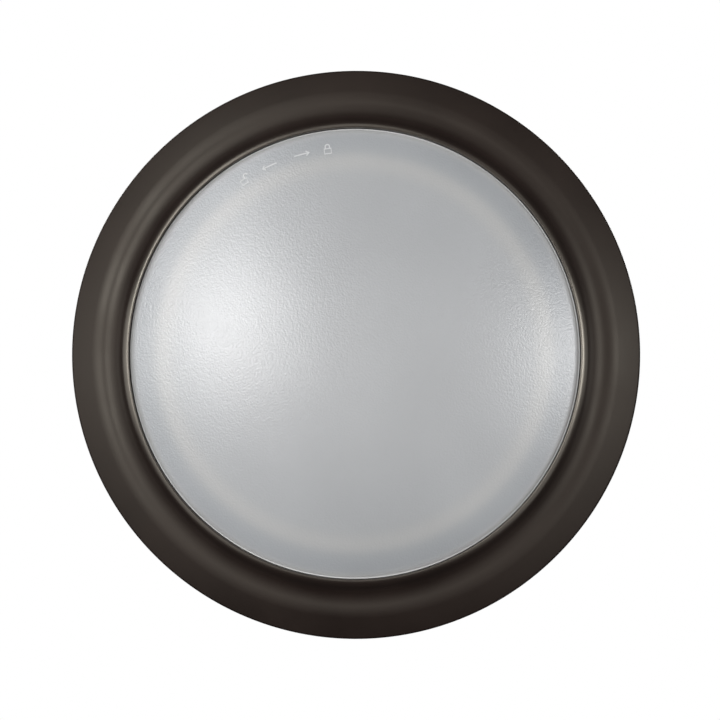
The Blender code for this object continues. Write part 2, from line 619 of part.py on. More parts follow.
def build_small_screws(steel, parent):
    """The screws of the clips, the LED board, the driver cover and, from behind, the trim ring."""
    tip = PAN_FLOOR_BACK + TOUCH / 2
    groups = (
        ("clip_screw", CLIP_SCREW_RADIUS, EAR_ANGLES, ON_PAN + CLIP_STEEL + TOUCH),
        ("led_board_screw", BOARD_SCREW_RADIUS, BOARD_SCREW_ANGLES, ON_BOARD),
        ("cover_screw", COVER_SCREW_RADIUS, COVER_SCREW_ANGLES, COVER_EAR_TOP + TOUCH),
    )
    for name, radius, angles, seat in groups:
        for number, angle in enumerate(angles, 1):
            place = on_circle(radius, angle)
            screw(f"{name}_{number}", place, seat, seat - tip, SMALL_SCREW, steel, parent)
    for number, angle in enumerate(RING_SCREW_ANGLES, 1):
        place = on_circle(RING_SCREW_RADIUS, angle)
        seat = FLANGE_BACK - TOUCH
        screw(f"ring_screw_{number}", place, seat, RING_SCREW_GRIP, RING_SCREW, steel, parent, way=-1.0)


def build_driver_tray(material, parent):
    """The insulating tray: a thin floor and a rim with a ledge that carries the driver board."""
    rim_top = DRIVER_BOARD_TOP - TOUCH
    wall_inner = TRAY_RADIUS - TRAY_RIM
    ledge_inner = wall_inner - TRAY_LEDGE
    floor_top = ON_PAN + TRAY_WALL
    outline = [(0.0, ON_PAN), (TRAY_RADIUS, ON_PAN), (TRAY_RADIUS, rim_top), (wall_inner, rim_top)]
    outline += [(wall_inner, TRAY_LEDGE_HEIGHT), (ledge_inner, TRAY_LEDGE_HEIGHT)]
    outline += [(ledge_inner, floor_top), (0.0, floor_top)]
    tray = turned("driver_tray", outline, material, parent)

    def grommet_hole(bm):
        outline = circle((0.0, -GROMMET_OFFSET), GROMMET_FLANGE_RADIUS + SCREW_FIT, SMALL_ROUND)
        extrude_outline(bm, outline, ON_PAN - THROUGH, floor_top + THROUGH)

    shape_with(tray, "DIFFERENCE", grommet_hole)


def build_driver_cover(material, parent):
    """The white cup over the driver board, with two screw ears and a notch for the board link."""
    outer, inner = DRIVER_COVER_RADIUS, COVER_INNER_RADIUS
    corner = DRIVER_COVER_ROUND
    under = DRIVER_COVER_TOP - DRIVER_COVER_WALL
    outline = [(inner, ON_PAN), (outer, ON_PAN)]
    outline += arc((outer - corner, DRIVER_COVER_TOP - corner), corner, 0, 90, 2)
    outline += [(0.0, DRIVER_COVER_TOP), (0.0, under), (inner - corner / 2, under)]
    outline += [(inner, DRIVER_COVER_TOP - corner)]
    cover = turned("driver_cover", outline, material, parent)

    def ears(bm):
        for angle in COVER_SCREW_ANGLES:
            tip = on_circle(COVER_SCREW_RADIUS, angle)
            root = on_circle(inner + DRIVER_COVER_WALL / 2, angle)
            side = on_circle(COVER_EAR_RADIUS, angle + 90)
            ear = arc(tip, COVER_EAR_RADIUS, angle - 90, angle + 90, 4)
            ear += [(root + side).xy, (root - side).xy]
            extrude_outline(bm, ear, ON_PAN + TOUCH / 3, COVER_EAR_TOP)

    def cuts(bm):
        holes_at(bm, COVER_SCREW_RADIUS, COVER_SCREW_ANGLES, SMALL_SCREW[0], 0.0, COVER_EAR_TOP + THROUGH)
        notch = rectangle(0.0, outer, LINK_WIDTH + 2 * TURN_GAP, 4 * DRIVER_COVER_WALL)
        extrude_outline(bm, notch, 0.0, LINK_TOP + TURN_GAP)

    shape_with(cover, "UNION", ears)
    shape_with(cover, "DIFFERENCE", cuts)


def build_driver_board(material, parent):
    outline = [(0.0, DRIVER_BOARD_BACK), (DRIVER_BOARD_RADIUS, DRIVER_BOARD_BACK)]
    outline += [(DRIVER_BOARD_RADIUS, DRIVER_BOARD_TOP), (0.0, DRIVER_BOARD_TOP)]
    board = turned("driver_board", outline, material, parent)

    def wire_hole(bm):
        outline = circle((0.0, -GROMMET_OFFSET), GROMMET_NECK_RADIUS, SMALL_ROUND)
        extrude_outline(bm, outline, DRIVER_BOARD_BACK - THROUGH, DRIVER_BOARD_TOP + THROUGH)

    shape_with(board, "DIFFERENCE", wire_hole)


def build_board_parts(finishes, parent):
    """The power supply's parts, standing on the driver board around the transformer."""
    base = ON_DRIVER_BOARD
    blocks = (
        # name, middle (x, y), width, depth and height in mm, finish
        ("film_capacitor", 14.6, 3.0, 4.0, 12.0, 7.4, "film"),
        ("bridge_rectifier", -11.0, -11.0, 6.5, 5.0, 2.4, "epoxy"),
        ("driver_chip", 8.6, 14.2, 5.0, 4.0, 1.6, "epoxy"),
        ("input_terminal", -9.4, 14.4, 10.0, 6.0, 7.0, "terminal"),
        ("varistor", -6.2, -6.6, 7.0, 3.4, 7.6, "varistor"),
    )
    for name, x, y, width, depth, height, finish_name in blocks:
        outline = rectangle(x * MM, y * MM, width * MM, depth * MM)
        prism(name, outline, base, base + height * MM, finishes[finish_name], parent)

    # The transformer's core stands across its wider bobbin.
    core_x, core_y, bobbin_x, bobbin_y = 4.2 * MM, 6.2 * MM, 7.0 * MM, 4.4 * MM
    middle, height = 3.2 * MM, 7.6 * MM
    half = [(bobbin_x, bobbin_y), (core_x, bobbin_y), (core_x, core_y)]
    half += [(-core_x, core_y), (-core_x, bobbin_y), (-bobbin_x, bobbin_y)]
    cross = half + [(-x, -y) for x, y in half]
    cross = [(x, y + middle) for x, y in cross]
    prism("transformer", cross, base, base + height, finishes["ferrite"], parent)

    # The choke is a spool with its winding between two flanges.
    spool, winding, flange, tall = 4.0 * MM, 3.2 * MM, 1.2 * MM, 6.8 * MM
    outline = [(0.0, 0.0), (spool, 0.0), (spool, flange), (winding, flange + TOUCH)]
    outline += [(winding, tall - flange - TOUCH), (spool, tall - flange), (spool, tall), (0.0, tall)]
    outline = [(radius, base + height) for radius, height in outline]
    turned("choke", outline, finishes["ferrite"], parent, 12, (12.0 * MM, -12.6 * MM))

    def lying(name, place, radius, length, turn, material):
        """A round can on its side."""
        rim = radius * 0.12
        outline = [(0.0, -length / 2), (radius - rim, -length / 2), (radius, -length / 2 + rim)]
        outline += [(radius, length / 2 - rim), (radius - rim, length / 2), (0.0, length / 2)]
        can = turned(name, outline, material, parent, 12)
        can.location = (*place, base + radius)
        can.rotation_euler = turn

    along_x, along_y = (0.0, pi / 2, 0.0), (pi / 2, 0.0, 0.0)
    lying("bulk_capacitor", (-14.2 * MM, 2.0 * MM), 4.0 * MM, 13.0 * MM, along_y, finishes["sleeve"])
    lying("fuse", (6.0 * MM, -6.6 * MM), 1.3 * MM, 8.0 * MM, along_x, finishes["glass"])


def build_board_link(material, parent):
    """The plug-in bridge from the driver board, over the tray's rim, down to the LED board."""
    near = DRIVER_BOARD_RADIUS - LINK_LEG - LINK_SET_IN
    leg = LED_BOARD_INNER_RADIUS + LINK_SET_IN
    outline = [(near, ON_DRIVER_BOARD), (leg, ON_DRIVER_BOARD), (leg, ON_BOARD)]
    outline += [(leg + LINK_LEG, ON_BOARD), (leg + LINK_LEG, LINK_TOP), (near, LINK_TOP)]
    bm = bmesh.new()
    extrude_outline(bm, outline, -LINK_WIDTH / 2, LINK_WIDTH / 2)
    stand_on_edge(bm)
    link = add_piece("board_link", mesh_from(bm, "board_link"), material, parent)
    link.rotation_euler.z = pi / 2


def build_grommet(material, parent):
    """A rubber grommet that grips the edge of the supply hole."""
    front = ON_PAN + GROMMET_LIP
    back = PAN_FLOOR_BACK - TOUCH
    bore, neck, flange = GROMMET_BORE_RADIUS, GROMMET_NECK_RADIUS, GROMMET_FLANGE_RADIUS
    outline = [(bore, back - GROMMET_LIP), (flange, back - GROMMET_LIP), (flange, back), (neck, back)]
    outline += [(neck, ON_PAN), (flange, ON_PAN), (flange - GROMMET_LIP / 2, front), (bore, front)]
    turned("wire_grommet", outline, material, parent, SMALL_ROUND, (0.0, -GROMMET_OFFSET))


def main():
    for old in list(bpy.data.objects):
        bpy.data.objects.remove(old, do_unlink=True)

    bronze = finish("bronze_paint", (0.055, 0.042, 0.036), 0.38)
    frosted = finish("frosted_lens", (0.62, 0.63, 0.65), 0.5)
    silicone = finish("silicone", (0.78, 0.78, 0.76), 0.6)
    white_paint = finish("white_paint", (0.80, 0.80, 0.78), 0.45)
    foam = finish("black_foam", (0.03, 0.03, 0.03), 0.9)
    zinc = finish("zinc_plate", (0.62, 0.63, 0.64), 0.35, 1.0)
    green = finish("green_screw", (0.05, 0.28, 0.10), 0.4, 0.6)
    mask = finish("white_solder_mask", (0.82, 0.82, 0.80), 0.35)
    pad = finish("heat_pad", (0.45, 0.50, 0.56), 0.8)
    package = finish("led_package", (0.90, 0.78, 0.32), 0.3)
    sheet = finish("reflector_sheet", (0.88, 0.88, 0.87), 0.5)
    spring = finish("spring_steel", (0.50, 0.50, 0.50), 0.3, 1.0)
    tray = finish("tray_plastic", (0.05, 0.05, 0.05), 0.5)
    cover = finish("cover_plastic", (0.84, 0.84, 0.82), 0.4)
    green_board = finish("driver_board_green", (0.05, 0.20, 0.09), 0.4)
    rubber = finish("black_rubber", (0.025, 0.025, 0.025), 0.8)
    link = finish("link_plastic", (0.80, 0.79, 0.74), 0.45)
    board_parts = {
        "ferrite": finish("ferrite_and_tape", (0.10, 0.10, 0.10), 0.5),
        "film": finish("film_capacitor_case", (0.50, 0.13, 0.08), 0.35),
        "epoxy": finish("black_epoxy", (0.02, 0.02, 0.02), 0.5),
        "terminal": finish("terminal_plastic", (0.75, 0.76, 0.74), 0.4),
        "varistor": finish("varistor_blue", (0.06, 0.12, 0.35), 0.4),
        "sleeve": finish("capacitor_sleeve", (0.04, 0.05, 0.09), 0.3),
        "glass": finish("fuse_body", (0.60, 0.58, 0.52), 0.2),
    }

    face = frame_empty("face_frame")
    face.rotation_euler.x = radians(90)
    mount = frame_empty("mount_frame", face)
    light = frame_empty("light_body", face)
    lens_turn = frame_empty("lens_turn", light)

    build_bar(zinc, mount)
    build_bar_screws(zinc, green, mount)
    build_ring_of("wall_gasket", PAN_RADIUS - GASKET_BAND, PAN_RADIUS, 0.0, GASKET_THICKNESS, foam, light)
    build_pan(white_paint, light)
    build_trim_ring(bronze, light)
    build_led_board(mask, pad, light)
    build_leds(package, light)
    build_reflector(sheet, light)
    build_driver_tray(tray, light)
    build_driver_board(green_board, light)
    build_board_parts(board_parts, light)
    build_driver_cover(cover, light)
    build_board_link(link, light)
    build_grommet(rubber, light)
    build_spring_clips(spring, light)
    build_small_screws(zinc, light)
    build_ring_of("lens_seal", SKIRT_OUTER_RADIUS + TOUCH, LENS_RADIUS, SEAL_BACK,
                  SEAL_BACK + SEAL_THICKNESS, silicone, lens_turn)
    build_lens(frosted, lens_turn)
    bpy.context.view_layer.update()


main()
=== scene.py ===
"""A surface-mounted LED disk light with a twist-off frosted lens, finished piece by piece.

The light hangs on a wall and shines along -Y. Every outline is drawn in a face frame, as the light is
seen from the front: x to the right, y up, and z straight out of the wall. Angles are counted
counter-clockwise from the right. face_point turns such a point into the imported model's frame.
"""

from math import acos, asin, atan2, cos, degrees, pi, radians, sin, tan

import bmesh
import bpy
from mathutils import Matrix, Vector


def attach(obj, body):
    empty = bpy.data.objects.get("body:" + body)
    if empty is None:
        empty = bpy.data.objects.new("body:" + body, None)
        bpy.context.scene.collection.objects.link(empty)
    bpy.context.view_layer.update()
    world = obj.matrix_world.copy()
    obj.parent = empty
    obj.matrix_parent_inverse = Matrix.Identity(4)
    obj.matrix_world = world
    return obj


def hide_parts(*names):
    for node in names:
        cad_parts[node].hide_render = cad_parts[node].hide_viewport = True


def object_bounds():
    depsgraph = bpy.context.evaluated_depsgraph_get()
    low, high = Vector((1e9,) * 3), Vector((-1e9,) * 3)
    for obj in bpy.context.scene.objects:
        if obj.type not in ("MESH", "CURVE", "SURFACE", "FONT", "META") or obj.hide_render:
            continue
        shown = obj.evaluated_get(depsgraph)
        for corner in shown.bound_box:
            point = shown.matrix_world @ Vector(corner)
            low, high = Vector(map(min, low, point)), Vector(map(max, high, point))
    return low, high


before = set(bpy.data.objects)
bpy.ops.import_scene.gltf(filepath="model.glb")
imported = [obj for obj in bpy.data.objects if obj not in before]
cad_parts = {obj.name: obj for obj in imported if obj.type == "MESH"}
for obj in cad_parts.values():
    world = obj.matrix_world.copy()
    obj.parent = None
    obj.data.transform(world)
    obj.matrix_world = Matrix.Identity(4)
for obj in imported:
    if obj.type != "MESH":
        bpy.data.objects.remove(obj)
cad_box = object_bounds()

# The studio: a white room with a pale round floor, well below the light. The main soft lamp stands to the
# left of the camera and a little above it, weaker ones stand around and below it, and two light the back.
# The camera stands a little to the right of the light's axis and a little below it.

MM = 0.001
centre = (Vector(cad_box[0]) + Vector(cad_box[1])) / 2
light_width = cad_box[1][0] - cad_box[0][0]


def out_to(azimuth, elevation, distance):
    """A place around the light: azimuth to the right of its axis and elevation above it, in degrees."""
    flat = distance * cos(radians(elevation))
    side = Vector((sin(radians(azimuth)) * flat, -cos(radians(azimuth)) * flat, 0.0))
    return centre + side + Vector((0.0, 0.0, distance * sin(radians(elevation))))


def stand(name, data, place):
    """Puts a lamp or the camera at a place and turns it to the light."""
    thing = bpy.data.objects.new(name, data)
    thing.location = place
    thing.rotation_euler = (centre - place).to_track_quat("-Z", "Y").to_euler()
    bpy.context.scene.collection.objects.link(thing)
    return thing


camera_azimuth, camera_elevation, camera_distance = 2.0, -1.9, 0.9
light_share_of_view = 0.796
camera_data = bpy.data.cameras.new("camera")
camera_data.sensor_width = 36.0
camera_data.lens = camera_data.sensor_width * light_share_of_view * camera_distance / light_width
camera_data.shift_x = 0.0076
camera_data.shift_y = -0.0092
camera_place = out_to(camera_azimuth, camera_elevation, camera_distance)
bpy.context.scene.camera = stand("camera", camera_data, camera_place)

lamp_width, lamp_height = 0.30, 0.36
lamps = (
    # name, azimuth, elevation, distance, watts, share of the full size
    ("main_left", -28.5, 8.0, 0.9, 4.0, 1.0),
    ("high_left", -35.0, 35.0, 0.9, 1.2, 1.0),
    ("side_left", -52.0, 3.0, 0.9, 0.45, 1.0),
    ("edge_left", -72.0, 0.0, 0.9, 0.7, 1.3),
    ("high_middle", 0.0, 48.0, 0.9, 0.40, 1.0),
    ("high_right", 35.0, 35.0, 0.9, 0.20, 1.0),
    ("compact_right", 43.0, 2.0, 0.9, 2.1, 0.7),
    ("far_right", 62.0, 0.0, 0.9, 0.2, 1.0),
    ("edge_right", 82.0, 0.0, 0.9, 0.3, 1.0),
    ("low_left", -38.0, -18.0, 0.65, 0.62, 1.5),
    ("low_right", 38.0, -18.0, 0.65, 0.60, 1.5),
    ("low_middle", 0.0, -16.0, 0.9, 0.4, 1.3),
    ("back_left", -140.0, 25.0, 0.9, 3.0, 1.0),
    ("back_right", 150.0, 20.0, 0.9, 3.0, 1.0),
)
for name, azimuth, elevation, distance, watts, share in lamps:
    lamp = bpy.data.lights.new(name, "AREA")
    lamp.shape = "RECTANGLE"
    lamp.size = lamp_width * share
    lamp.size_y = lamp_height * share
    lamp.energy = watts
    stand(name, lamp, out_to(azimuth, elevation, distance))


def set_inputs(tree, node, inputs):
    """Gives inputs of a node, by name or number, a plain value or a link from the socket that feeds them."""
    for name, given in inputs.items():
        if isinstance(given, bpy.types.NodeSocket):
            tree.links.new(given, node.inputs[name])
        else:
            node.inputs[name].default_value = given


def add_node(tree, kind, inputs, operation=None):
    """Adds a shader node of one kind to a tree, with its inputs set."""
    node = tree.nodes.new("ShaderNode" + kind)
    if operation:
        node.operation = operation
    set_inputs(tree, node, inputs)
    return node


white = (1.0, 1.0, 1.0, 1.0)
room = bpy.data.worlds.new("room")
bpy.context.scene.world = room
room.use_nodes = True
room_tree = room.node_tree
room_light = room_tree.nodes["Background"]
set_inputs(room_tree, room_light, {"Color": white, "Strength": 0.04})
white_wall = add_node(room_tree, "Background", {"Color": white, "Strength": 1.0})
seen = add_node(room_tree, "LightPath", {}).outputs["Is Camera Ray"]
seen_or_lit = add_node(room_tree, "MixShader", {
    "Fac": seen,
    1: room_light.outputs["Background"],
    2: white_wall.outputs["Background"],
})
set_inputs(room_tree, room_tree.nodes["World Output"], {"Surface": seen_or_lit.outputs["Shader"]})
bpy.context.scene.view_settings.view_transform = "Standard"

floor_radius, floor_height = 1.5, -0.3
floor_bm = bmesh.new()
bmesh.ops.create_circle(floor_bm, cap_ends=True, segments=96, radius=floor_radius)
floor_mesh = bpy.data.meshes.new("floor")
floor_bm.to_mesh(floor_mesh)
floor_bm.free()
floor = bpy.data.objects.new("floor", floor_mesh)
floor.location.z = floor_height
floor_finish = bpy.data.materials.new("pale_floor")
floor_finish.use_nodes = True
set_inputs(floor_finish.node_tree, floor_finish.node_tree.nodes["Principled BSDF"], {
    "Base Color": (0.05, 0.05, 0.05, 1.0),
    "Roughness": 0.9,
    "Specular IOR Level": 0.0,
    "Emission Color": (1.0, 1.0, 0.99, 1.0),
    "Emission Strength": 0.82,
})
floor_mesh.materials.append(floor_finish)
bpy.context.scene.collection.objects.link(floor)
floor.visible_diffuse = False
floor.visible_glossy = False

# The trim ring: an aluminium ring spun to a moulded profile, painted a satin dark bronze and rubbed shinier
# at its crest. Its face runs from a rounded edge up a slope to a level terrace, then through a cove to the
# crest beside the lens. Inside are the ledge for the lens's seal and three bosses for screws from behind.

ring_radius = 95.25 * MM
ring_wall = 1.6 * MM
ring_lift = 0.6 * MM
bore_radius = 74.9 * MM
ledge_height = 13.4 * MM
leg_inner_radius = 72.5 * MM
leg_foot = 6.3 * MM
crest_radius = 4.0 * MM
crest_set_in = 0.5 * MM
bore_round = 0.4 * MM
crest_height = 18.2 * MM
terrace_reach = 83.85 * MM
terrace_height = 13.6 * MM
slope_top = 88.0 * MM
slope_tilt = 24.0
edge_round = 1.2 * MM
edge_draft = 0.2 * MM
ring_screw_radius, ring_screw_angles = 80.0 * MM, (60.0, 180.0, 300.0)
ring_screw_hole, boss_radius, boss_foot = 1.8 * MM, 3.4 * MM, 4.3 * MM


def arc(middle, radius, start, end, steps):
    """Points on an arc in the plane of an outline, ends included."""
    turn = (end - start) / steps
    angles = [radians(start + turn * i) for i in range(steps + 1)]
    return [(middle[0] + radius * cos(a), middle[1] + radius * sin(a)) for a in angles]


def rounded(corners, radius, steps=4):
    """A closed outline with each corner eased by a curve that starts and ends radius away from it."""
    eased = []
    for i, corner in enumerate(corners):
        here = Vector(corner)
        before = Vector(corners[i - 1]) - here
        after = Vector(corners[(i + 1) % len(corners)]) - here
        if here.x <= 0.0:
            eased.append(tuple(here))
            continue
        start = here + before.normalized() * min(radius, before.length * 0.45)
        end = here + after.normalized() * min(radius, after.length * 0.45)
        for step in range(steps + 1):
            share = step / steps
            point = start * (1 - share) ** 2 + here * (2 * share * (1 - share)) + end * share**2
            eased.append(tuple(point))
    return eased


def face_point(x, y, z):
    return Vector((x, -z, y))


def at_angle(radius, angle):
    return (radius * cos(radians(angle)), radius * sin(radians(angle)))


def lathe(bm, outline, sides, middle=(0.0, 0.0)):
    """Turns a closed (radius, height) outline around an axis that stands out of the wall."""
    rings = []
    for radius, height in outline:
        if radius <= 1e-7:
            rings.append([bm.verts.new(face_point(middle[0], middle[1], height))])
            continue
        turns = [2 * pi * i / sides for i in range(sides)]
        places = [(middle[0] + radius * cos(t), middle[1] + radius * sin(t)) for t in turns]
        rings.append([bm.verts.new(face_point(x, y, height)) for x, y in places])
    for ring, after in zip(rings, rings[1:] + rings[:1]):
        if len(ring) == 1 and len(after) == 1:
            continue
        for i in range(sides):
            j = (i + 1) % sides
            corners = [ring[i % len(ring)], ring[j % len(ring)]]
            corners += [after[j % len(after)], after[i % len(after)]]
            bm.faces.new(list(dict.fromkeys(corners)))


def add_object(name, bm, sharp=40.0):
    """An object of a finished mesh, smooth where it is round and crisp at its edges."""
    bmesh.ops.recalc_face_normals(bm, faces=bm.faces)
    mesh = bpy.data.meshes.new(name)
    bm.to_mesh(mesh)
    bm.free()
    mesh.shade_smooth()
    mesh.set_sharp_from_angle(angle=radians(sharp))
    thing = bpy.data.objects.new(name, mesh)
    bpy.context.scene.collection.objects.link(thing)
    return thing


def finish(name, colour, roughness, metallic=0.0, mottle=0.03, grain=0.4 * MM, relief=0.01 * MM, patchy=0.08):
    """A finish whose colour and gloss wander over some centimetres, with a fine grain in relief."""
    material = bpy.data.materials.new(name)
    material.use_nodes = True
    tree = material.node_tree
    place = add_node(tree, "TexCoord", {}).outputs["Object"]
    clouds = add_node(tree, "TexNoise", {"Vector": place, "Scale": 55.0, "Detail": 4.0}).outputs["Fac"]
    tone = add_node(tree, "ValToRGB", {"Fac": clouds})
    cloud_low, cloud_high = 0.3, 0.7
    ends = ((cloud_low, 1 - mottle), (cloud_high, 1 + mottle))
    for stop, (position, share) in zip(tone.color_ramp.elements, ends):
        stop.position = position
        stop.color = (*[min(1.0, c * share) for c in colour], 1.0)
    gloss = add_node(tree, "MapRange", {
        "Value": clouds,
        "From Min": cloud_low,
        "From Max": cloud_high,
        "To Min": roughness * (1 - patchy),
        "To Max": roughness * (1 + patchy),
    })
    fine = add_node(tree, "TexNoise", {"Vector": place, "Scale": 1.0 / grain, "Detail": 2.0}).outputs["Fac"]
    bump = add_node(tree, "Bump", {"Height": fine, "Distance": relief})
    set_inputs(tree, tree.nodes["Principled BSDF"], {
        "Base Color": tone.outputs["Color"],
        "Roughness": gloss.outputs["Result"],
        "Normal": bump.outputs["Normal"],
        "Metallic": metallic,
    })
    return material


def seat(piece, body, material, node=None):
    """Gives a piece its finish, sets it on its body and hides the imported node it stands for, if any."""
    piece.data.materials.append(material)
    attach(piece, body)
    if node:
        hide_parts(node)
    return piece


tilt = radians(slope_tilt)
edge = ring_radius - edge_draft
terrace_curve = (slope_top - terrace_reach) / sin(tilt)
terrace_middle = (terrace_reach, terrace_height - terrace_curve)
slope_height = terrace_middle[1] + terrace_curve * cos(tilt)
lean = 90.0 - slope_tilt
edge_x = edge - edge_round * (1 - cos(radians(lean)))
edge_z = slope_height - (edge_x - slope_top) * tan(tilt)
edge_middle = (edge - edge_round, edge_z - edge_round * sin(radians(lean)))
crest_middle = (bore_radius - crest_set_in, crest_height - crest_radius)
round_run = crest_set_in + bore_round
round_rise = ((crest_radius - bore_round) ** 2 - round_run**2) ** 0.5
touch = degrees(atan2(round_rise, round_run))
run = terrace_reach - crest_middle[0]
drop = crest_middle[1] - terrace_height
cove_radius = (run**2 + drop**2 - crest_radius**2) / (2 * (crest_radius + drop))
cove_middle = (terrace_reach, terrace_height + cove_radius)
meet = degrees(atan2(cove_radius - drop, run))
ring_face = [(ring_radius - ring_wall, ring_lift), (ring_radius, ring_lift)]
ring_face += arc(edge_middle, edge_round, 0.0, lean, 8)
ring_face += arc(terrace_middle, terrace_curve, lean, 90.0, 12)[:-1]
ring_face += arc(cove_middle, cove_radius, 270.0, 180.0 + meet, 20)
ring_face += arc(crest_middle, crest_radius, meet, touch, 16)[1:]
ring_face += arc((bore_radius + bore_round, crest_middle[1] + round_rise), bore_round, touch, 180.0, 6)[1:]
leg = [(bore_radius, ledge_height), (leg_inner_radius, ledge_height)]
leg += [(leg_inner_radius, leg_foot), (leg_inner_radius + ring_wall, leg_foot)]
under_cove = cove_radius + ring_wall
inner_x = bore_radius + ring_wall
inner_angle = degrees(atan2((under_cove**2 - (terrace_reach - inner_x) ** 2) ** 0.5,
                            terrace_reach - inner_x))
hollow = [(leg_inner_radius + ring_wall, ledge_height - ring_wall), (inner_x, ledge_height)]
hollow += arc(cove_middle, under_cove, 180.0 + inner_angle, 270.0, 8)
hollow += arc(terrace_middle, terrace_curve - ring_wall, 90.0, lean, 6)[1:]
under_slope = slope_height - (edge - ring_wall - slope_top) * tan(tilt) - ring_wall / cos(tilt)
hollow += [(edge - ring_wall, under_slope)]

face_sides = 288
ring_bm = bmesh.new()
lathe(ring_bm, ring_face + leg + hollow, face_sides)
boss_top = terrace_height - ring_wall / 2
boss_outline = [(ring_screw_hole, boss_foot), (boss_radius, boss_foot)]
boss_outline += [(boss_radius, boss_top), (ring_screw_hole, boss_top)]
for boss_angle in ring_screw_angles:
    lathe(ring_bm, rounded(boss_outline, 0.2 * MM), 24, at_angle(ring_screw_radius, boss_angle))


def reach_from_axis(tree):
    """How far a point stands from the light's axis, for a finish that changes with it."""
    place = add_node(tree, "TexCoord", {}).outputs["Object"]
    flat = add_node(tree, "VectorMath", {0: place, 1: (1.0, 0.0, 1.0)}, "MULTIPLY").outputs["Vector"]
    return add_node(tree, "VectorMath", {0: flat}, "LENGTH").outputs["Value"]


bronze = finish("satin_bronze", (0.0135, 0.0078, 0.0066), 0.47, mottle=0.12, grain=0.55 * MM,
                relief=0.012 * MM)
bronze_tree = bronze.node_tree
bronze_shader = bronze_tree.nodes["Principled BSDF"]
crest_band = {"Value": reach_from_axis(bronze_tree), "From Min": 76.6 * MM, "From Max": 79.5 * MM}
rubbed = add_node(bronze_tree, "MapRange", {**crest_band, "To Min": 0.64, "To Max": 1.0}).outputs["Result"]
shine = add_node(bronze_tree, "MapRange", {**crest_band, "To Min": 1.0, "To Max": 0.35}).outputs["Result"]
even_gloss = bronze_shader.inputs["Roughness"].links[0].from_socket
crest_gloss = add_node(bronze_tree, "Math", {0: even_gloss, 1: rubbed}, "MULTIPLY").outputs["Value"]
set_inputs(bronze_tree, bronze_shader, {
    "IOR": 1.6,
    "Specular Tint": (1.0, 0.93, 0.80, 1.0),
    "Specular IOR Level": shine,
    "Roughness": crest_gloss,
})
seat(add_object("painted_trim_ring", ring_bm), "light", bronze, "trim_ring")

# The lens: one moulding of frosted, pebbled polycarbonate: a shallow dome out to a rolled edge with a fine
# parting line, and a thicker rim around its hollow. Behind it a skirt with three ears turns under the spring
# clips. Raised marks by the edge show an open and a closed padlock and which way to turn for each.

lens_radius = 74.7 * MM
rim_top = 16.8 * MM
lens_wall = 1.8 * MM
rim_back = rim_top - lens_wall
hollow_foot = 62.3 * MM
dome_top = 28.5 * MM
dome_sweep = 73.84 * MM
edge_start = 72.7 * MM
edge_roll = 3.4 * MM
parting_line, sharp_edge = 0.35 * MM, 0.1 * MM
skirt_radius = 71.9 * MM
skirt_foot = 9.1 * MM
ear_top = 10.5 * MM
ear_reach = 66.1 * MM
ear_angles, ear_half = (90.0, 210.0, 330.0), 5.0
dome_sag = dome_top - rim_top
dome_curve = (dome_sweep**2 + dome_sag**2) / (2 * dome_sag)


def dome(top, curve, reach, steps):
    """A dome's outline from a circle of the radius reach to the middle."""
    radii = [reach * (1 - i / steps) for i in range(steps + 1)]
    return [(r, top - curve + (curve**2 - r**2) ** 0.5) for r in radii]


outer_dome = dome(dome_top, dome_curve, edge_start, 48)
inner_dome = dome(dome_top - lens_wall, dome_curve - lens_wall, hollow_foot, 24)
edge_tilt = degrees(asin(edge_start / dome_curve))
edge_middle_x = edge_start - edge_roll * sin(radians(edge_tilt))
edge_middle_z = outer_dome[0][1] - edge_roll * cos(radians(edge_tilt))
line_start = lens_radius - sharp_edge - parting_line
edge_end = degrees(acos((line_start - edge_middle_x) / edge_roll))
rolled_edge = arc((edge_middle_x, edge_middle_z), edge_roll, edge_end, 90.0 - edge_tilt, 10)[:-1]
line_height = rolled_edge[0][1]
lens_outline = [(lens_radius, rim_back), (lens_radius, line_height - sharp_edge)]
lens_outline += [(lens_radius - sharp_edge, line_height)]
lens_outline += rolled_edge + outer_dome
lens_outline += inner_dome[::-1]
lens_outline += [(hollow_foot + lens_wall, rim_back), (skirt_radius - lens_wall, rim_back)]
lens_outline += [(skirt_radius - lens_wall, skirt_foot), (skirt_radius, skirt_foot)]
lens_outline += [(skirt_radius, rim_back)]

lens_bm = bmesh.new()
lathe(lens_bm, lens_outline, face_sides)


def plate(bm, outline, low, high):
    """A closed plate of a flat outline, between two heights."""
    base = [bm.verts.new(face_point(x, y, low)) for x, y in outline]
    top = [bm.verts.new(face_point(x, y, high)) for x, y in outline]
    bm.faces.new(base[::-1])
    bm.faces.new(top)
    for i in range(len(outline)):
        j = (i + 1) % len(outline)
        bm.faces.new((base[i], base[j], top[j], top[i]))


def sector_plate(bm, inner, outer, start, end, low, high, steps=8):
    """A flat stretch of a ring between two angles, as a closed plate."""
    outline = arc((0, 0), outer, start, end, steps) + arc((0, 0), inner, end, start, steps)
    plate(bm, outline, low, high)


for ear_angle in ear_angles:
    sector_plate(lens_bm, ear_reach, skirt_radius - lens_wall / 2, ear_angle - ear_half, ear_angle + ear_half,
                 skirt_foot + 0.1 * MM, ear_top)


def dome_height(radius):
    return dome_top - dome_curve + (dome_curve**2 - radius**2) ** 0.5


mark_radius, mark_line = 68.2 * MM, 0.42 * MM
mark_rise, mark_root = 0.18 * MM, 0.4 * MM


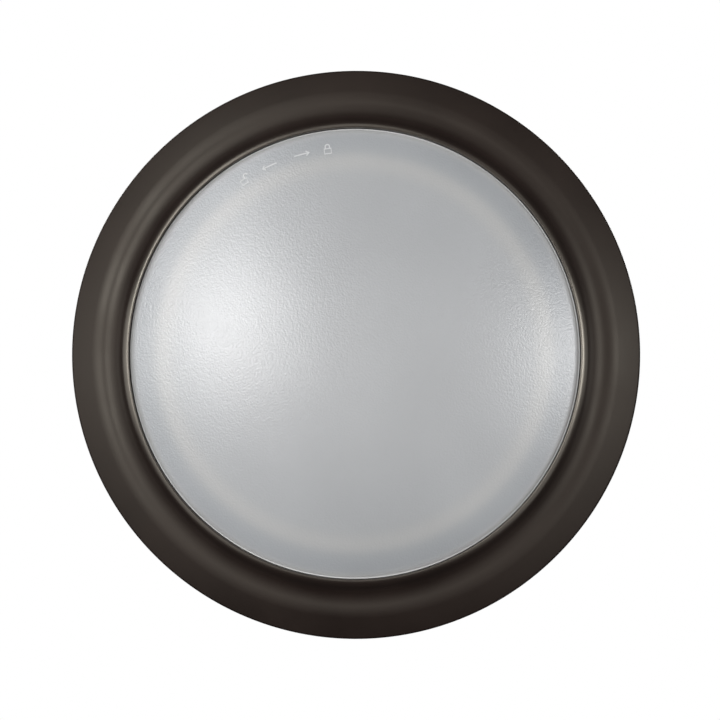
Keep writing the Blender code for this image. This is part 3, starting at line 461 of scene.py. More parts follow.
def raised_line(bm, path, line_width, closed=False):
    """A raised moulded line along a path by the lens's edge."""
    rows = []
    for i, point in enumerate(path):
        before = path[i - 1] if i or closed else point
        after = path[(i + 1) % len(path)] if i + 1 < len(path) or closed else point
        way = Vector((after[0] - before[0], after[1] - before[1])).normalized()
        side = Vector((-way.y, way.x)) * line_width / 2
        left, right = Vector(point) + side, Vector(point) - side
        section = ((left, mark_rise), (right, mark_rise), (right, -mark_root), (left, -mark_root))
        rows.append([bm.verts.new(face_point(p.x, p.y, dome_height(p.length) + rise)) for p, rise in section])
    pairs = list(zip(rows, rows[1:]))
    if closed:
        pairs.append((rows[-1], rows[0]))
    else:
        bm.faces.new(rows[0])
        bm.faces.new(rows[-1][::-1])
    for row, following in pairs:
        for k in range(4):
            m = (k + 1) % 4
            bm.faces.new((row[k], row[m], following[m], following[k]))


def by_edge(angle, across, outward):
    """A point of a mark that stands upright by the edge, as it is read from the middle."""
    turn = radians(angle) - across / mark_radius
    radius = mark_radius + outward
    return (radius * cos(turn), radius * sin(turn))


def padlock(angle, shackle_shift):
    """A padlock's body and shackle; the shackle of an open one is shifted to the side."""
    half, foot, head, hoop_radius = 1.15 * MM, -1.5 * MM, 0.2 * MM, 0.7 * MM
    body = [(-half, foot), (half, foot), (half, head), (-half, head)]
    raised_line(lens_bm, [by_edge(angle, x, y) for x, y in body], mark_line, closed=True)
    hoop = [(shackle_shift - hoop_radius, head)]
    hoop += arc((shackle_shift, head + hoop_radius), hoop_radius, 180.0, 0.0, 8)
    if not shackle_shift:
        hoop.append((hoop_radius, head))
    raised_line(lens_bm, [by_edge(angle, x, y) for x, y in hoop], mark_line)


def turn_arrow(angle, way):
    """A curved arrow along the edge: way is -1 for counter-clockwise and 1 for clockwise."""
    length, barb_back, barb_out = 2.6 * MM, 1.1 * MM, 0.8 * MM
    shaft = [(way * length * (i / 4 - 1), 0.0) for i in range(9)]
    raised_line(lens_bm, [by_edge(angle, x, y) for x, y in shaft], mark_line)
    barb_foot = way * (length - barb_back)
    barb = [(barb_foot, barb_out), (way * length, 0.0), (barb_foot, -barb_out)]
    raised_line(lens_bm, [by_edge(angle, x, y) for x, y in barb], mark_line)


unmarked = set(lens_bm.faces)
padlock(122.6, 1.4 * MM)
turn_arrow(114.3, -1)
turn_arrow(104.8, 1)
padlock(97.4, 0.0)
for mark_face in set(lens_bm.faces) - unmarked:
    mark_face.material_index = 1

frosted = bpy.data.materials.new("frosted_polycarbonate")
frosted.use_nodes = True
lens_tree = frosted.node_tree
lens_place = add_node(lens_tree, "TexCoord", {}).outputs["Object"]
share_out = add_node(lens_tree, "Math", {0: reach_from_axis(lens_tree), 1: lens_radius}, "DIVIDE")
zones_and_edge_glow = add_node(lens_tree, "ValToRGB", {"Fac": share_out.outputs["Value"]})
zones_and_edge_glow.color_ramp.interpolation = "B_SPLINE"
zone_tones_and_edge_glow = (
    # share of the lens's radius, and its tone there: lighter over the hollow's rim, and lighter at the
    # parting line, where the tone is painted glow of light through the translucent edge
    (0.00, (0.430, 0.436, 0.444)),
    (0.55, (0.420, 0.427, 0.437)),
    (0.78, (0.395, 0.404, 0.416)),
    (0.825, (0.440, 0.442, 0.440)),
    (0.865, (0.440, 0.442, 0.438)),
    (0.90, (0.355, 0.367, 0.382)),
    (0.955, (0.335, 0.349, 0.366)),
    (0.978, (0.345, 0.352, 0.362)),
    (0.992, (0.600, 0.604, 0.600)),
    (1.00, (0.620, 0.624, 0.620)),
)
while len(zones_and_edge_glow.color_ramp.elements) < len(zone_tones_and_edge_glow):
    zones_and_edge_glow.color_ramp.elements.new(0.5)
for stop, (share, zone_tone) in zip(zones_and_edge_glow.color_ramp.elements, zone_tones_and_edge_glow):
    stop.position = share
    stop.color = (*zone_tone, 1.0)
# Soft darker and lighter patches at random places scale the lens's tones: painted shade of the parts behind
# the lens.
painted_shade_patches = add_node(lens_tree, "TexNoise", {"Vector": lens_place, "Scale": 22.0, "Detail": 1.0})
painted_shade_tone = add_node(lens_tree, "MapRange", {
    "Value": painted_shade_patches.outputs["Fac"],
    "From Min": 0.35,
    "From Max": 0.65,
    "To Min": 0.95,
    "To Max": 1.03,
})
shade_over_zones = {0: zones_and_edge_glow.outputs["Color"], "Scale": painted_shade_tone.outputs["Result"]}
zones_with_painted_shade = add_node(lens_tree, "VectorMath", shade_over_zones, "SCALE")
pebble_size, pebble_relief = 0.65 * MM, 0.085 * MM
pebble_noise = {"Vector": lens_place, "Scale": 1.0 / pebble_size, "Detail": 3.0}
pebbles = add_node(lens_tree, "TexNoise", pebble_noise).outputs["Fac"]
pebble_bump = add_node(lens_tree, "Bump", {"Height": pebbles, "Distance": pebble_relief})
pebble_gloss = add_node(lens_tree, "MapRange", {"Value": pebbles, "To Min": 0.26, "To Max": 0.38})
set_inputs(lens_tree, lens_tree.nodes["Principled BSDF"], {
    "Base Color": zones_with_painted_shade.outputs["Vector"],
    "Roughness": pebble_gloss.outputs["Result"],
    "Normal": pebble_bump.outputs["Normal"],
    "Specular IOR Level": 1.0,
    "Subsurface Weight": 0.2,
    "Subsurface Radius": (1.0, 1.0, 1.0),
    "Subsurface Scale": 2.5 * MM,
})
frosted_lens = seat(add_object("frosted_lens", lens_bm, sharp=35.0), "lens", frosted, "lens")
clear_relief = finish("clear_relief", (0.62, 0.63, 0.63), 0.30, grain=0.5 * MM)
frosted_lens.data.materials.append(clear_relief)

# The lens seal: a flat silicone ring, moulded with four soft ribs, that lies on the ring's ledge under the
# lens's rim and turns with the lens.

seal_inner, seal_outer = 72.2 * MM, 74.6 * MM
seal_back, seal_top = 13.7 * MM, 14.7 * MM
rib_height = 0.12 * MM
rib_width = (seal_outer - seal_inner) / 4
seal_outline = [(seal_inner, seal_back), (seal_outer, seal_back), (seal_outer, seal_top - rib_height)]
for rib in (3, 2, 1, 0):
    seal_outline.append((seal_inner + (rib + 0.5) * rib_width, seal_top))
    seal_outline.append((seal_inner + rib * rib_width, seal_top - rib_height))
seal_bm = bmesh.new()
lathe(seal_bm, rounded(seal_outline, 0.08 * MM, 2), 192)
silicone = finish("clear_silicone", (0.74, 0.74, 0.72), 0.5)
seat(add_object("silicone_seal", seal_bm), "lens_carrier", silicone, "lens_seal")

# The wall gasket: a ring of black closed-cell foam, cut from sheet and stuck to the pan's flange. Its cut
# edges are soft, and its face shows the foam's cells.

gasket_inner, gasket_outer, gasket_top = 85.45 * MM, 92.45 * MM, 2.1 * MM


def band(inner, outer, low, high):
    """The square outline of a flat ring, or of a disc where inner is nothing."""
    return [(inner, low), (outer, low), (outer, high), (inner, high)]


gasket_bm = bmesh.new()
lathe(gasket_bm, rounded(band(gasket_inner, gasket_outer, 0.0, gasket_top), 0.5 * MM), 192)
foam = finish("closed_cell_foam", (0.030, 0.030, 0.031), 0.88, mottle=0.25, grain=0.7 * MM,
              relief=0.25 * MM)
seat(add_object("foam_gasket", gasket_bm, sharp=60.0), "light", foam, "wall_gasket")

# The housing pan: a pressed aluminium pan, painted white. Its floor carries the LED board and the driver, its
# flange carries the ring and the gasket, and two pads with curved keyhole slots hang on the bar's screws.

pan_back, pan_top = 4.4 * MM, 6.0 * MM
flange_low, flange_high = 2.4 * MM, 4.0 * MM
pan_floor_radius, pan_step_radius, pan_radius, step_lean = 74.7 * MM, 76.7 * MM, 92.45 * MM, 0.3 * MM
keyhole_radius, keyhole_turn = 65.0 * MM, 12.0
pad_half, slot_half, wide_half = 7.5 * MM, 2.4 * MM, 4.9 * MM
pad_foot, pad_top, stop_outer = 1.8 * MM, 5.2 * MM, 69.5 * MM
clip_screw_radius = 62.45 * MM
board_screw_radius, board_screw_angles = 36.9 * MM, (30.0, 150.0, 270.0)
cover_screw_radius, cover_screw_angles = 29.85 * MM, (45.0, 225.0)
supply_place, supply_hole = (0.0, -16.0 * MM), 4.6 * MM
small_hole = 1.55 * MM


def slot_outline(radius, half, start, end, steps=12):
    """A slot that follows a circle, with round ends."""
    outline = arc((0, 0), radius + half, start, end, steps)
    outline += arc(at_angle(radius, end), half, end, end + 180.0, steps)[1:-1]
    outline += arc((0, 0), radius - half, end, start, steps)
    return outline + arc(at_angle(radius, start), half, start + 180.0, start + 360.0, steps)[1:-1]


def hole_outline(middle, radius, sides=24):
    return arc(middle, radius, 4.0, 364.0, sides)[:-1]


def hole_circle(circle, angles, radius):
    return [hole_outline(at_angle(circle, angle), radius) for angle in angles]


def combine(piece, tool_bm, operation):
    """Joins a body to a piece or cuts it away, and keeps the result as the piece's mesh."""
    tool = add_object("tool", tool_bm)
    boolean = piece.modifiers.new("shape", "BOOLEAN")
    boolean.operation = operation
    boolean.object = tool
    bpy.context.view_layer.update()
    shaped = bpy.data.meshes.new_from_object(piece.evaluated_get(bpy.context.evaluated_depsgraph_get()))
    piece.modifiers.clear()
    piece.data = shaped
    bpy.data.objects.remove(tool)


def cut(piece, *outlines, low=-1.0 * MM, high=30.0 * MM):
    """Cuts flat outlines right through a piece, and keeps the result as its mesh."""
    for outline in outlines:
        tool_bm = bmesh.new()
        plate(tool_bm, outline, low, high)
        combine(piece, tool_bm, "DIFFERENCE")


def soften(piece, width, segments=2, angle=38.0):
    """Eases every crisp edge, as paint, pressing or moulding does."""
    bevel = piece.modifiers.new("eased edges", "BEVEL")
    bevel.width = width
    bevel.segments = segments
    bevel.limit_method = "ANGLE"
    bevel.angle_limit = radians(angle)
    bevel.use_clamp_overlap = True
    bevel.harden_normals = True


pan_corners = [(0.0, pan_back), (pan_floor_radius, pan_back), (pan_step_radius, flange_low)]
pan_corners += [(pan_radius, flange_low), (pan_radius, flange_high)]
pan_corners += [(pan_step_radius + step_lean, flange_high), (pan_floor_radius + step_lean, pan_top)]
pan_corners += [(0.0, pan_top)]
pan_bm = bmesh.new()
lathe(pan_bm, rounded(pan_corners, 0.6 * MM), 192)
pan = add_object("pressed_pan", pan_bm, sharp=50.0)
for keyhole in (0.0, 180.0):
    pad_bm = bmesh.new()
    plate(pad_bm, slot_outline(keyhole_radius, pad_half, keyhole - keyhole_turn, keyhole), pad_foot, pad_top)
    combine(pan, pad_bm, "UNION")
stop_turn, twist = 3.0, 20.0
stop_gap = ear_half + degrees(0.3 * MM / ear_reach)
stops = [angle - stop_gap - stop_turn for angle in ear_angles] + [ear_angles[0] + twist + stop_gap]
for stop in stops:
    stop_bm = bmesh.new()
    sector_plate(stop_bm, ear_reach, stop_outer, stop, stop + stop_turn, pad_top, ear_top, 2)
    combine(pan, stop_bm, "UNION")
for keyhole in (0.0, 180.0):
    cut(pan, slot_outline(keyhole_radius, slot_half, keyhole - keyhole_turn, keyhole))
    cut(pan, hole_outline(at_angle(keyhole_radius, keyhole - keyhole_turn), wide_half, 32))
cut(pan, hole_outline(supply_place, supply_hole, 32))
cut(pan, *hole_circle(clip_screw_radius, ear_angles, small_hole))
cut(pan, *hole_circle(board_screw_radius, board_screw_angles, small_hole))
cut(pan, *hole_circle(cover_screw_radius, cover_screw_angles, small_hole))
cut(pan, *hole_circle(ring_screw_radius, ring_screw_angles, ring_screw_hole))
soften(pan, 0.25 * MM)
white_paint = finish("white_baked_paint", (0.78, 0.78, 0.76), 0.42, grain=0.5 * MM, relief=0.012 * MM)
seat(pan, "light", white_paint, "housing_pan")

# The mounting bar: a stamped steel bar, zinc plated, that screws to the electrical box through its two slots.
# Its sheared edges are eased, and the plating shows a fine spangle.

bar_half_length, bar_half_width, bar_corner, bar_thickness = 70.0 * MM, 12.0 * MM, 5.0 * MM, 1.5 * MM
box_slot, box_slot_reach, bar_hole = 44.45 * MM, 4.0 * MM, 2.4 * MM
earth_place = (-25.0 * MM, 0.0)
bar_outline = []
for i, j, quarter in ((1, 1, 0), (-1, 1, 90), (-1, -1, 180), (1, -1, 270)):
    corner = (i * (bar_half_length - bar_corner), j * (bar_half_width - bar_corner))
    bar_outline += arc(corner, bar_corner, quarter, quarter + 90, 8)
bar_bm = bmesh.new()
plate(bar_bm, bar_outline, 0.0, bar_thickness)
bar = add_object("zinc_mounting_bar", bar_bm)
for side in (-1, 1):
    long_slot = arc((side * box_slot + box_slot_reach, 0.0), bar_hole, -90, 90, 12)
    long_slot += arc((side * box_slot - box_slot_reach, 0.0), bar_hole, 90, 270, 12)
    cut(bar, long_slot, hole_outline((side * keyhole_radius, 0.0), bar_hole))
cut(bar, hole_outline(earth_place, bar_hole))
soften(bar, 0.25 * MM)
zinc = finish("zinc_plate", (0.60, 0.61, 0.62), 0.36, metallic=1.0, mottle=0.14, grain=1.6 * MM,
              patchy=0.25)
seat(bar, "mount", zinc, "mounting_bar")

# The screws: pan-head machine screws with a cross recess and rolled threads, zinc plated, except for the
# earth screw, which is green. The ring's three go in from behind.


def screw_outline(shank, head, head_height, pitch, length):
    """A screw's (radius, height) outline from the tip of its shank to the crown of its head."""
    root = shank - 0.18 * pitch
    outline = [(0.0, -length), (root, -length)]
    for turn in range(int(length / pitch)):
        foot = -length + (turn + 0.25) * pitch
        outline += [(root, foot), (shank, foot + 0.3 * pitch), (root, foot + 0.6 * pitch)]
    rim = 0.35
    outline += [(root, 0.0), (head, 0.0), (head, head_height * rim)]
    crown = [at_angle(1.0, a) for a in range(15, 90, 15)]
    outline += [(head * out, head_height * (rim + (1 - rim) * up)) for out, up in crown]
    return outline + [(0.0, head_height)]


def turned(outline, turn, middle=(0.0, 0.0)):
    """An outline turned about its origin, and then moved to a middle."""
    return [(middle[0] + x * cos(turn) - y * sin(turn), middle[1] + x * sin(turn) + y * cos(turn))
            for x, y in outline]


def make_screw(name, node, place, seat_at, length, sizes, material, body, way=1.0):
    """A screw with its head on a face; way is -1 for a head that looks at the wall."""
    head, head_height = sizes[1:3]
    outline = screw_outline(*sizes, length)
    screw_bm = bmesh.new()
    lathe(screw_bm, [(radius, seat_at + way * height) for radius, height in outline], 24, place)
    screw = add_object(name, screw_bm, sharp=30.0)
    crown = seat_at + way * (head_height + 0.1 * MM)
    floor_of_recess = seat_at + way * head_height * 0.45
    low, high = sorted((crown, floor_of_recess))
    arm, half_width = head * 0.58, head * 0.13
    cross = [(arm, half_width), (half_width, half_width), (half_width, arm)]
    cross += [(-x, y) for x, y in cross[::-1]]
    cross += [(-x, -y) for x, y in cross]
    # Each screw's recess stops at a turn of its own, which follows from its place.
    stopped_at = radians(place[0] * 9000.0 + place[1] * 5000.0)
    cut(screw, turned(cross, stopped_at, place), low=low, high=high)
    soften(screw, 0.06 * MM, 1, 60.0)
    seat(screw, body, material, node)


# Each size is a shank's radius, a head's radius and height, and a thread's pitch.
keyhole_screw = (2.1 * MM, 4.0 * MM, 2.2 * MM, 0.8 * MM)
earth_screw = (2.1 * MM, 4.0 * MM, 2.0 * MM, 0.7 * MM)
small_screw = (1.25 * MM, 2.25 * MM, 1.5 * MM, 0.5 * MM)
ring_screw = (1.5 * MM, 2.8 * MM, 1.9 * MM, 0.6 * MM)
# Each of these is the height of a face that a screw's head rests on.
on_pan, on_bar, on_board, on_ear, behind_flange = 6.3 * MM, 1.8 * MM, 9.0 * MM, 8.6 * MM, 2.1 * MM
screw_end, ring_screw_length = 0.15 * MM, 7.0 * MM
green_plate = finish("green_earth_screw", (0.035, 0.22, 0.075), 0.34, metallic=0.6, mottle=0.10,
                     grain=0.5 * MM)
for number, side in enumerate((1, -1), 1):
    make_screw(f"hanging_screw_{number}", f"keyhole_screw_{number}", (side * keyhole_radius, 0.0), on_pan,
               on_pan - screw_end, keyhole_screw, zinc, "mount")
make_screw("earth_screw", "ground_screw", earth_place, on_bar, on_bar - screw_end, earth_screw, green_plate,
           "mount")
tip = pan_back + screw_end
clip_steel = 0.5 * MM
small_groups = (
    # name, node, circle's radius, angles, height of the face under the head
    ("clip_fixing", "clip_screw", clip_screw_radius, ear_angles, on_pan + clip_steel + 0.3 * MM),
    ("board_fixing", "led_board_screw", board_screw_radius, board_screw_angles, on_board),
    ("cover_fixing", "cover_screw", cover_screw_radius, cover_screw_angles, on_ear),
)
for name, node, circle, angles, seat_at in small_groups:
    for number, angle in enumerate(angles, 1):
        make_screw(f"{name}_{number}", f"{node}_{number}", at_angle(circle, angle), seat_at, seat_at - tip,
                   small_screw, zinc, "light")
for number, angle in enumerate(ring_screw_angles, 1):
    make_screw(f"ring_fixing_{number}", f"ring_screw_{number}", at_angle(ring_screw_radius, angle),
               behind_flange, ring_screw_length, ring_screw, zinc, "light", way=-1.0)

# The heat pad and the LED board: a grey heat-conducting sheet, and on it a ring of aluminium-core board with
# a white solder mask. Copper runs under the mask as low lines, and tinned test pads stand beside the link.

board_inner, board_outer = 33.4 * MM, 58.2 * MM
board_back, board_top = 7.1 * MM, 8.7 * MM
pad_margin, pad_thickness = 0.8 * MM, 0.5 * MM
pad_corners = band(board_inner + pad_margin, board_outer - pad_margin, on_pan, on_pan + pad_thickness)
heat_bm = bmesh.new()
lathe(heat_bm, rounded(pad_corners, 0.12 * MM, 2), 144)
heat_pad = add_object("heat_sheet", heat_bm)
board_holes = hole_circle(board_screw_radius, board_screw_angles, small_hole)
cut(heat_pad, *board_holes)
heat_grey = finish("heat_sheet_grey", (0.42, 0.47, 0.53), 0.75, mottle=0.06, grain=0.9 * MM,
                   relief=0.05 * MM)
seat(heat_pad, "light", heat_grey, "thermal_pad")

board_bm = bmesh.new()
lathe(board_bm, rounded(band(board_inner, board_outer, board_back, board_top), 0.12 * MM, 2), 144)
led_board = add_object("led_ring_board", board_bm)
cut(led_board, *board_holes)
white_mask = finish("white_solder_mask", (0.80, 0.80, 0.78), 0.32, mottle=0.02, grain=0.35 * MM,
                    relief=0.006 * MM)
tinned = finish("tinned_copper", (0.70, 0.66, 0.58), 0.30, metallic=1.0, mottle=0.10)
seat(led_board, "light", white_mask, "led_board")
copper_root, copper_rise = 0.05 * MM, 0.06 * MM
trace_width, on_trace = 0.7 * MM, (board_top - copper_root, board_top + copper_rise)
led_angles = [(number + 0.5) * 22.5 for number in range(16)]
trace_spans = ((34.0, 84.0), (96.0, 146.0), (154.0, 266.0), (274.0, 386.0))
spoke_inner, spoke_outer, spoke_half = 36.2 * MM, 38.0 * MM, 1.2
traces_bm = bmesh.new()
for trace_radius in (34.9 * MM, 38.7 * MM):
    for start, end in trace_spans:
        sector_plate(traces_bm, trace_radius, trace_radius + trace_width, start, end, *on_trace, 40)
for spoke in led_angles:
    if min(abs((spoke - a + 180.0) % 360.0 - 180.0) for a in board_screw_angles) > 5.0:
        sector_plate(traces_bm, spoke_inner, spoke_outer, spoke - spoke_half, spoke + spoke_half,
                     *on_trace, 4)
seat(add_object("led_board_traces", traces_bm), "light", white_mask)
contacts_bm = bmesh.new()
pad_side = 0.7 * MM
for side in (-1, 1):
    for row in (0, 1):
        x, y = side * 5.2 * MM, (35.6 + 2.4 * row) * MM
        plate(contacts_bm, band(x - pad_side, x + pad_side, y - pad_side, y + pad_side), *on_trace)
seat(add_object("led_board_test_pads", contacts_bm), "light", tinned)

# The LEDs: sixteen white moulded packages, each with a sunken cup that is filled with yellow phosphor, and
# with tinned feet at its two ends.

led_width, led_length, led_height = 2.8 * MM, 3.5 * MM, 0.8 * MM
led_circle = 47.5 * MM
phosphor = finish("phosphor_fill", (0.86, 0.66, 0.16), 0.35, mottle=0.05, grain=0.2 * MM)
package_white = finish("led_package_white", (0.86, 0.86, 0.82), 0.38, mottle=0.02, grain=0.3 * MM,
                       relief=0.005 * MM)


def block(bm, low, high, material_index=0):
    """A box between two corners of the face frame."""
    before = set(bm.faces)
    plate(bm, band(low[0], high[0], low[1], high[1]), low[2], high[2])
    for face in set(bm.faces) - before:
        face.material_index = material_index


led_bm = bmesh.new()
led_half, led_end = led_width / 2, led_length / 2 - 0.15 * MM
block(led_bm, (-led_half, -led_end, 0.0), (led_half, led_end, led_height))
package_top = max(led_bm.faces, key=lambda face: -face.calc_center_median().y)
bmesh.ops.inset_region(led_bm, faces=[package_top], thickness=0.35 * MM)
bmesh.ops.inset_region(led_bm, faces=[package_top], thickness=0.12 * MM, depth=-0.22 * MM)
package_top.material_index = 1
foot_length, foot_half, foot_height, foot_shift = 0.5 * MM, 0.45 * MM, 0.2 * MM, 0.8 * MM
for end in (-1, 1):
    for middle_y in (-foot_shift, foot_shift):
        low_x, high_x = sorted((end * (led_half - foot_length), end * led_half))
        block(led_bm, (low_x, middle_y - foot_half, 0.0), (high_x, middle_y + foot_half, foot_height), 2)
bmesh.ops.recalc_face_normals(led_bm, faces=led_bm.faces)
led_mesh = bpy.data.meshes.new("led_package")
led_bm.to_mesh(led_mesh)
led_bm.free()
for led_material in (package_white, phosphor, tinned):
    led_mesh.materials.append(led_material)
for number, angle in enumerate(led_angles, 1):
    led = bpy.data.objects.new(f"led_package_{number:02d}", led_mesh)
    led.location = face_point(*at_angle(led_circle, angle), on_board)
    led.rotation_euler.y = -radians(angle)
    bpy.context.scene.collection.objects.link(led)
    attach(led, "light")
    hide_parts(f"led_{number:02d}")

# The reflector: a white sheet, vacuum formed with a window for each LED and a raised rim, that throws the
# light forward. It lies on the LED board.

reflector_inner, reflector_outer = 40.4 * MM, 59.3 * MM
sheet_wall, rim_rise, rim_lean = 0.6 * MM, 4.0 * MM, 1.0 * MM
sheet_top = on_board + sheet_wall
reflector_rim = on_board + rim_rise
reflector_corners = [(reflector_inner, on_board), (reflector_outer - rim_lean, on_board)]
reflector_corners += [(reflector_outer, reflector_rim), (reflector_outer - sheet_wall, reflector_rim)]
reflector_corners += [(reflector_outer - rim_lean - sheet_wall, sheet_top), (reflector_inner, sheet_top)]
reflector_bm = bmesh.new()
lathe(reflector_bm, rounded(reflector_corners, 0.22 * MM, 2), 144)
reflector = add_object("white_reflector", reflector_bm, sharp=50.0)
window_along, window_across = led_width / 2 + 0.5 * MM, led_length / 2 + 0.5 * MM
window = band(led_circle - window_along, led_circle + window_along, -window_across, window_across)
for angle in led_angles:
    cut(reflector, turned(window, radians(angle)))
soften(reflector, 0.12 * MM, 2)
matt_white = finish("matt_white_sheet", (0.87, 0.87, 0.86), 0.55, mottle=0.02, grain=0.5 * MM)
seat(reflector, "light", matt_white, "reflector")

# The spring clips: strips of spring steel, bent three times and screwed to the pan at their feet. Their lips
# hook over the lens's ears.

clip_foot, clip_riser = 59.9 * MM, 65.5 * MM
clip_reach, clip_lip, clip_half = 68.7 * MM, 0.7 * MM, 4.0 * MM
hook = ear_top + 0.3 * MM
lip_end, inner_riser = clip_reach + clip_lip, clip_riser - clip_steel
clip_path = [(clip_foot, on_pan), (clip_riser, on_pan), (clip_riser, hook), (clip_reach, hook)]
clip_path += [(lip_end, hook + clip_lip), (lip_end - clip_steel / 2, hook + clip_lip + clip_steel)]
clip_path += [(clip_reach - clip_steel / 2, hook + clip_steel), (inner_riser, hook + clip_steel)]
clip_path += [(inner_riser, on_pan + clip_steel), (clip_foot, on_pan + clip_steel)]
clip_section = rounded(clip_path, 0.25 * MM, 3)
spring_steel = finish("spring_steel", (0.44, 0.44, 0.45), 0.28, metallic=1.0, mottle=0.12,
                      grain=0.25 * MM, patchy=0.3)
for number, angle in enumerate(ear_angles, 1):
    clip_bm = bmesh.new()
    sides = []
    for across in (-clip_half, clip_half):
        bends = [(*turned([(reach, across)], radians(angle))[0], height) for reach, height in clip_section]
        sides.append([clip_bm.verts.new(face_point(*bend)) for bend in bends])
    clip_bm.faces.new(sides[0])
    clip_bm.faces.new(sides[1][::-1])
    count = len(sides[0])
    for i in range(count):
        j = (i + 1) % count
        clip_bm.faces.new((sides[0][i], sides[0][j], sides[1][j], sides[1][i]))
    clip = add_object(f"steel_clip_{number}", clip_bm, sharp=50.0)
    cut(clip, hole_outline(at_angle(clip_screw_radius, angle), small_hole), high=on_pan + 2.0 * MM)
    soften(clip, 0.08 * MM, 1)
    seat(clip, "light", spring_steel, f"spring_clip_{number}")

# The driver tray: a black moulded dish under the driver board, with a ledge that carries it, ribs under its
# middle and a hole for the supply grommet. It keeps the board's solder joints off the pan.

tray_radius, tray_wall_inner, tray_ledge_inner = 25.8 * MM, 24.9 * MM, 23.2 * MM
tray_rim, tray_ledge, tray_floor, tray_hole = 9.9 * MM, 8.3 * MM, 6.9 * MM, 6.5 * MM
tray_corners = [(0.0, on_pan), (tray_radius, on_pan), (tray_radius, tray_rim), (tray_wall_inner, tray_rim)]
tray_corners += [(tray_wall_inner, tray_ledge), (tray_ledge_inner, tray_ledge)]
tray_corners += [(tray_ledge_inner, tray_floor), (0.0, tray_floor)]
tray_bm = bmesh.new()
lathe(tray_bm, rounded(tray_corners, 0.15 * MM, 2), 96)
rib_length, rib_half = 17.0 * MM, 0.4 * MM
for rib_y in (-6.0 * MM, 4.0 * MM, 12.0 * MM):
    block(tray_bm, (-rib_length, rib_y - rib_half, tray_floor - 0.1 * MM),
          (rib_length, rib_y + rib_half, tray_ledge))
tray = add_object("insulating_tray", tray_bm)
cut(tray, hole_outline(supply_place, tray_hole, 32))
tray_black = finish("black_tray_plastic", (0.045, 0.045, 0.047), 0.46, mottle=0.08, grain=0.35 * MM,
                    relief=0.02 * MM)
seat(tray, "light", tray_black, "driver_tray")

# The driver board: glass-epoxy board with a green solder mask. Low copper tracks run under the mask, and the
# parts' solder joints stand on its back.

driver_radius, driver_back, driver_top, driver_hole = 24.6 * MM, 8.6 * MM, 10.2 * MM, 4.3 * MM
driver_bm = bmesh.new()
lathe(driver_bm, rounded(band(0.0, driver_radius, driver_back, driver_top), 0.1 * MM, 2), 96)
driver_board = add_object("power_supply_board", driver_bm)
cut(driver_board, hole_outline(supply_place, driver_hole, 32))
board_green = finish("green_solder_mask", (0.035, 0.17, 0.075), 0.34, mottle=0.12)
seat(driver_board, "light", board_green, "driver_board")
track_half, on_track = 0.45 * MM, (driver_top - copper_root, driver_top + copper_rise)
tracks = (
    # corners of each track's middle line, in mm
    ((-9.4, 9.8), (-14.2, 9.8), (-14.2, -7.4), (-11.0, -7.4)),
    ((-7.0, 9.8), (-7.0, -3.6), (-3.4, -3.6)),
    ((0.6, -6.6), (-1.4, -6.6), (-1.4, -4.0), (-8.6, -4.0)),
    ((10.6, -6.6), (12.0, -6.6), (12.0, -8.0)),
    ((8.6, 11.6), (8.6, 9.0), (12.0, 9.0)),
    ((6.4, 16.8), (2.0, 18.6), (2.0, 20.0)),
    ((8.0, 3.2), (11.6, 3.2)),
)
tracks_bm = bmesh.new()
for track in tracks:
    for start, end in zip(track, track[1:]):
        along = (Vector(end) - Vector(start)).normalized() * track_half
        across = Vector((-along.y, along.x))
        first, last = Vector(start) * MM - along, Vector(end) * MM + along
        plate(tracks_bm, [first - across, last - across, last + across, first + across], *on_track)
seat(add_object("driver_board_tracks", tracks_bm), "light", board_green)
joints_bm = bmesh.new()
joint_places = (
    # one joint for each leg of a part, in mm
    (-12.4, 14.4), (-6.4, 14.4), (14.6, -1.0), (14.6, 7.0), (-8.2, -6.6), (-4.2, -6.6), (-14.2, 6.0),
    (-14.2, -2.0), (2.6, -6.6), (9.4, -6.6), (10.4, -12.6), (13.6, -12.6), (-5.6, 1.0), (-5.6, 5.4),
    (5.6, 1.0), (5.6, 5.4),
)
joint_shape = ((0.0, -0.5), (0.25, -0.45), (0.4, -0.2), (0.8, 0.03), (0.0, 0.03))
solder_joint = [(radius * MM, driver_back + height * MM) for radius, height in joint_shape]
for joint_x, joint_y in joint_places:
    lathe(joints_bm, solder_joint, 12, (joint_x * MM, joint_y * MM))
seat(add_object("driver_board_joints", joints_bm), "light", tinned)

# The moulded parts on the board: a boxed film capacitor, a bridge rectifier and the driver chip in black
# epoxy with tinned legs, and the input terminal, a white block with two wire mouths and a lever over each.

on_driver = 10.5 * MM


def part_block(bm, middle, size, low=on_driver, material_index=0):
    """A block that stands on the board: its middle is given in mm, and its width, depth and height."""
    x, y = middle
    width, depth, height = size
    block(bm, ((x - width / 2) * MM, (y - depth / 2) * MM, low),
          ((x + width / 2) * MM, (y + depth / 2) * MM, low + height * MM), material_index)


def legged_part(name, node, middle, size, leg_shifts):
    """A moulded body with a row of bent legs along its two long sides."""
    bm = bmesh.new()
    width, depth, height = size
    part_block(bm, middle, (width, depth - 1.0, height))
    for side in (-1, 1):
        for shift in leg_shifts:
            x, shoulder = middle[0] + shift, on_driver + 0.5 * MM
            part_block(bm, (x, middle[1] + side * (depth / 2 - 0.5)), (0.5, 0.6, 0.2), shoulder, 1)
            part_block(bm, (x, middle[1] + side * (depth / 2 - 0.2)), (0.5, 0.2, 0.7), on_driver, 1)
    piece = add_object(name, bm)
    dimple = ((middle[0] - width / 2 + 0.8) * MM, (middle[1] - depth / 2 + 1.2) * MM)
    top = on_driver + height * MM
    cut(piece, hole_outline(dimple, 0.3 * MM, 16), low=top - 0.15 * MM, high=top + MM)
    soften(piece, 0.08 * MM, 1)
    seat(piece, "light", epoxy_black, node)
    piece.data.materials.append(tinned)


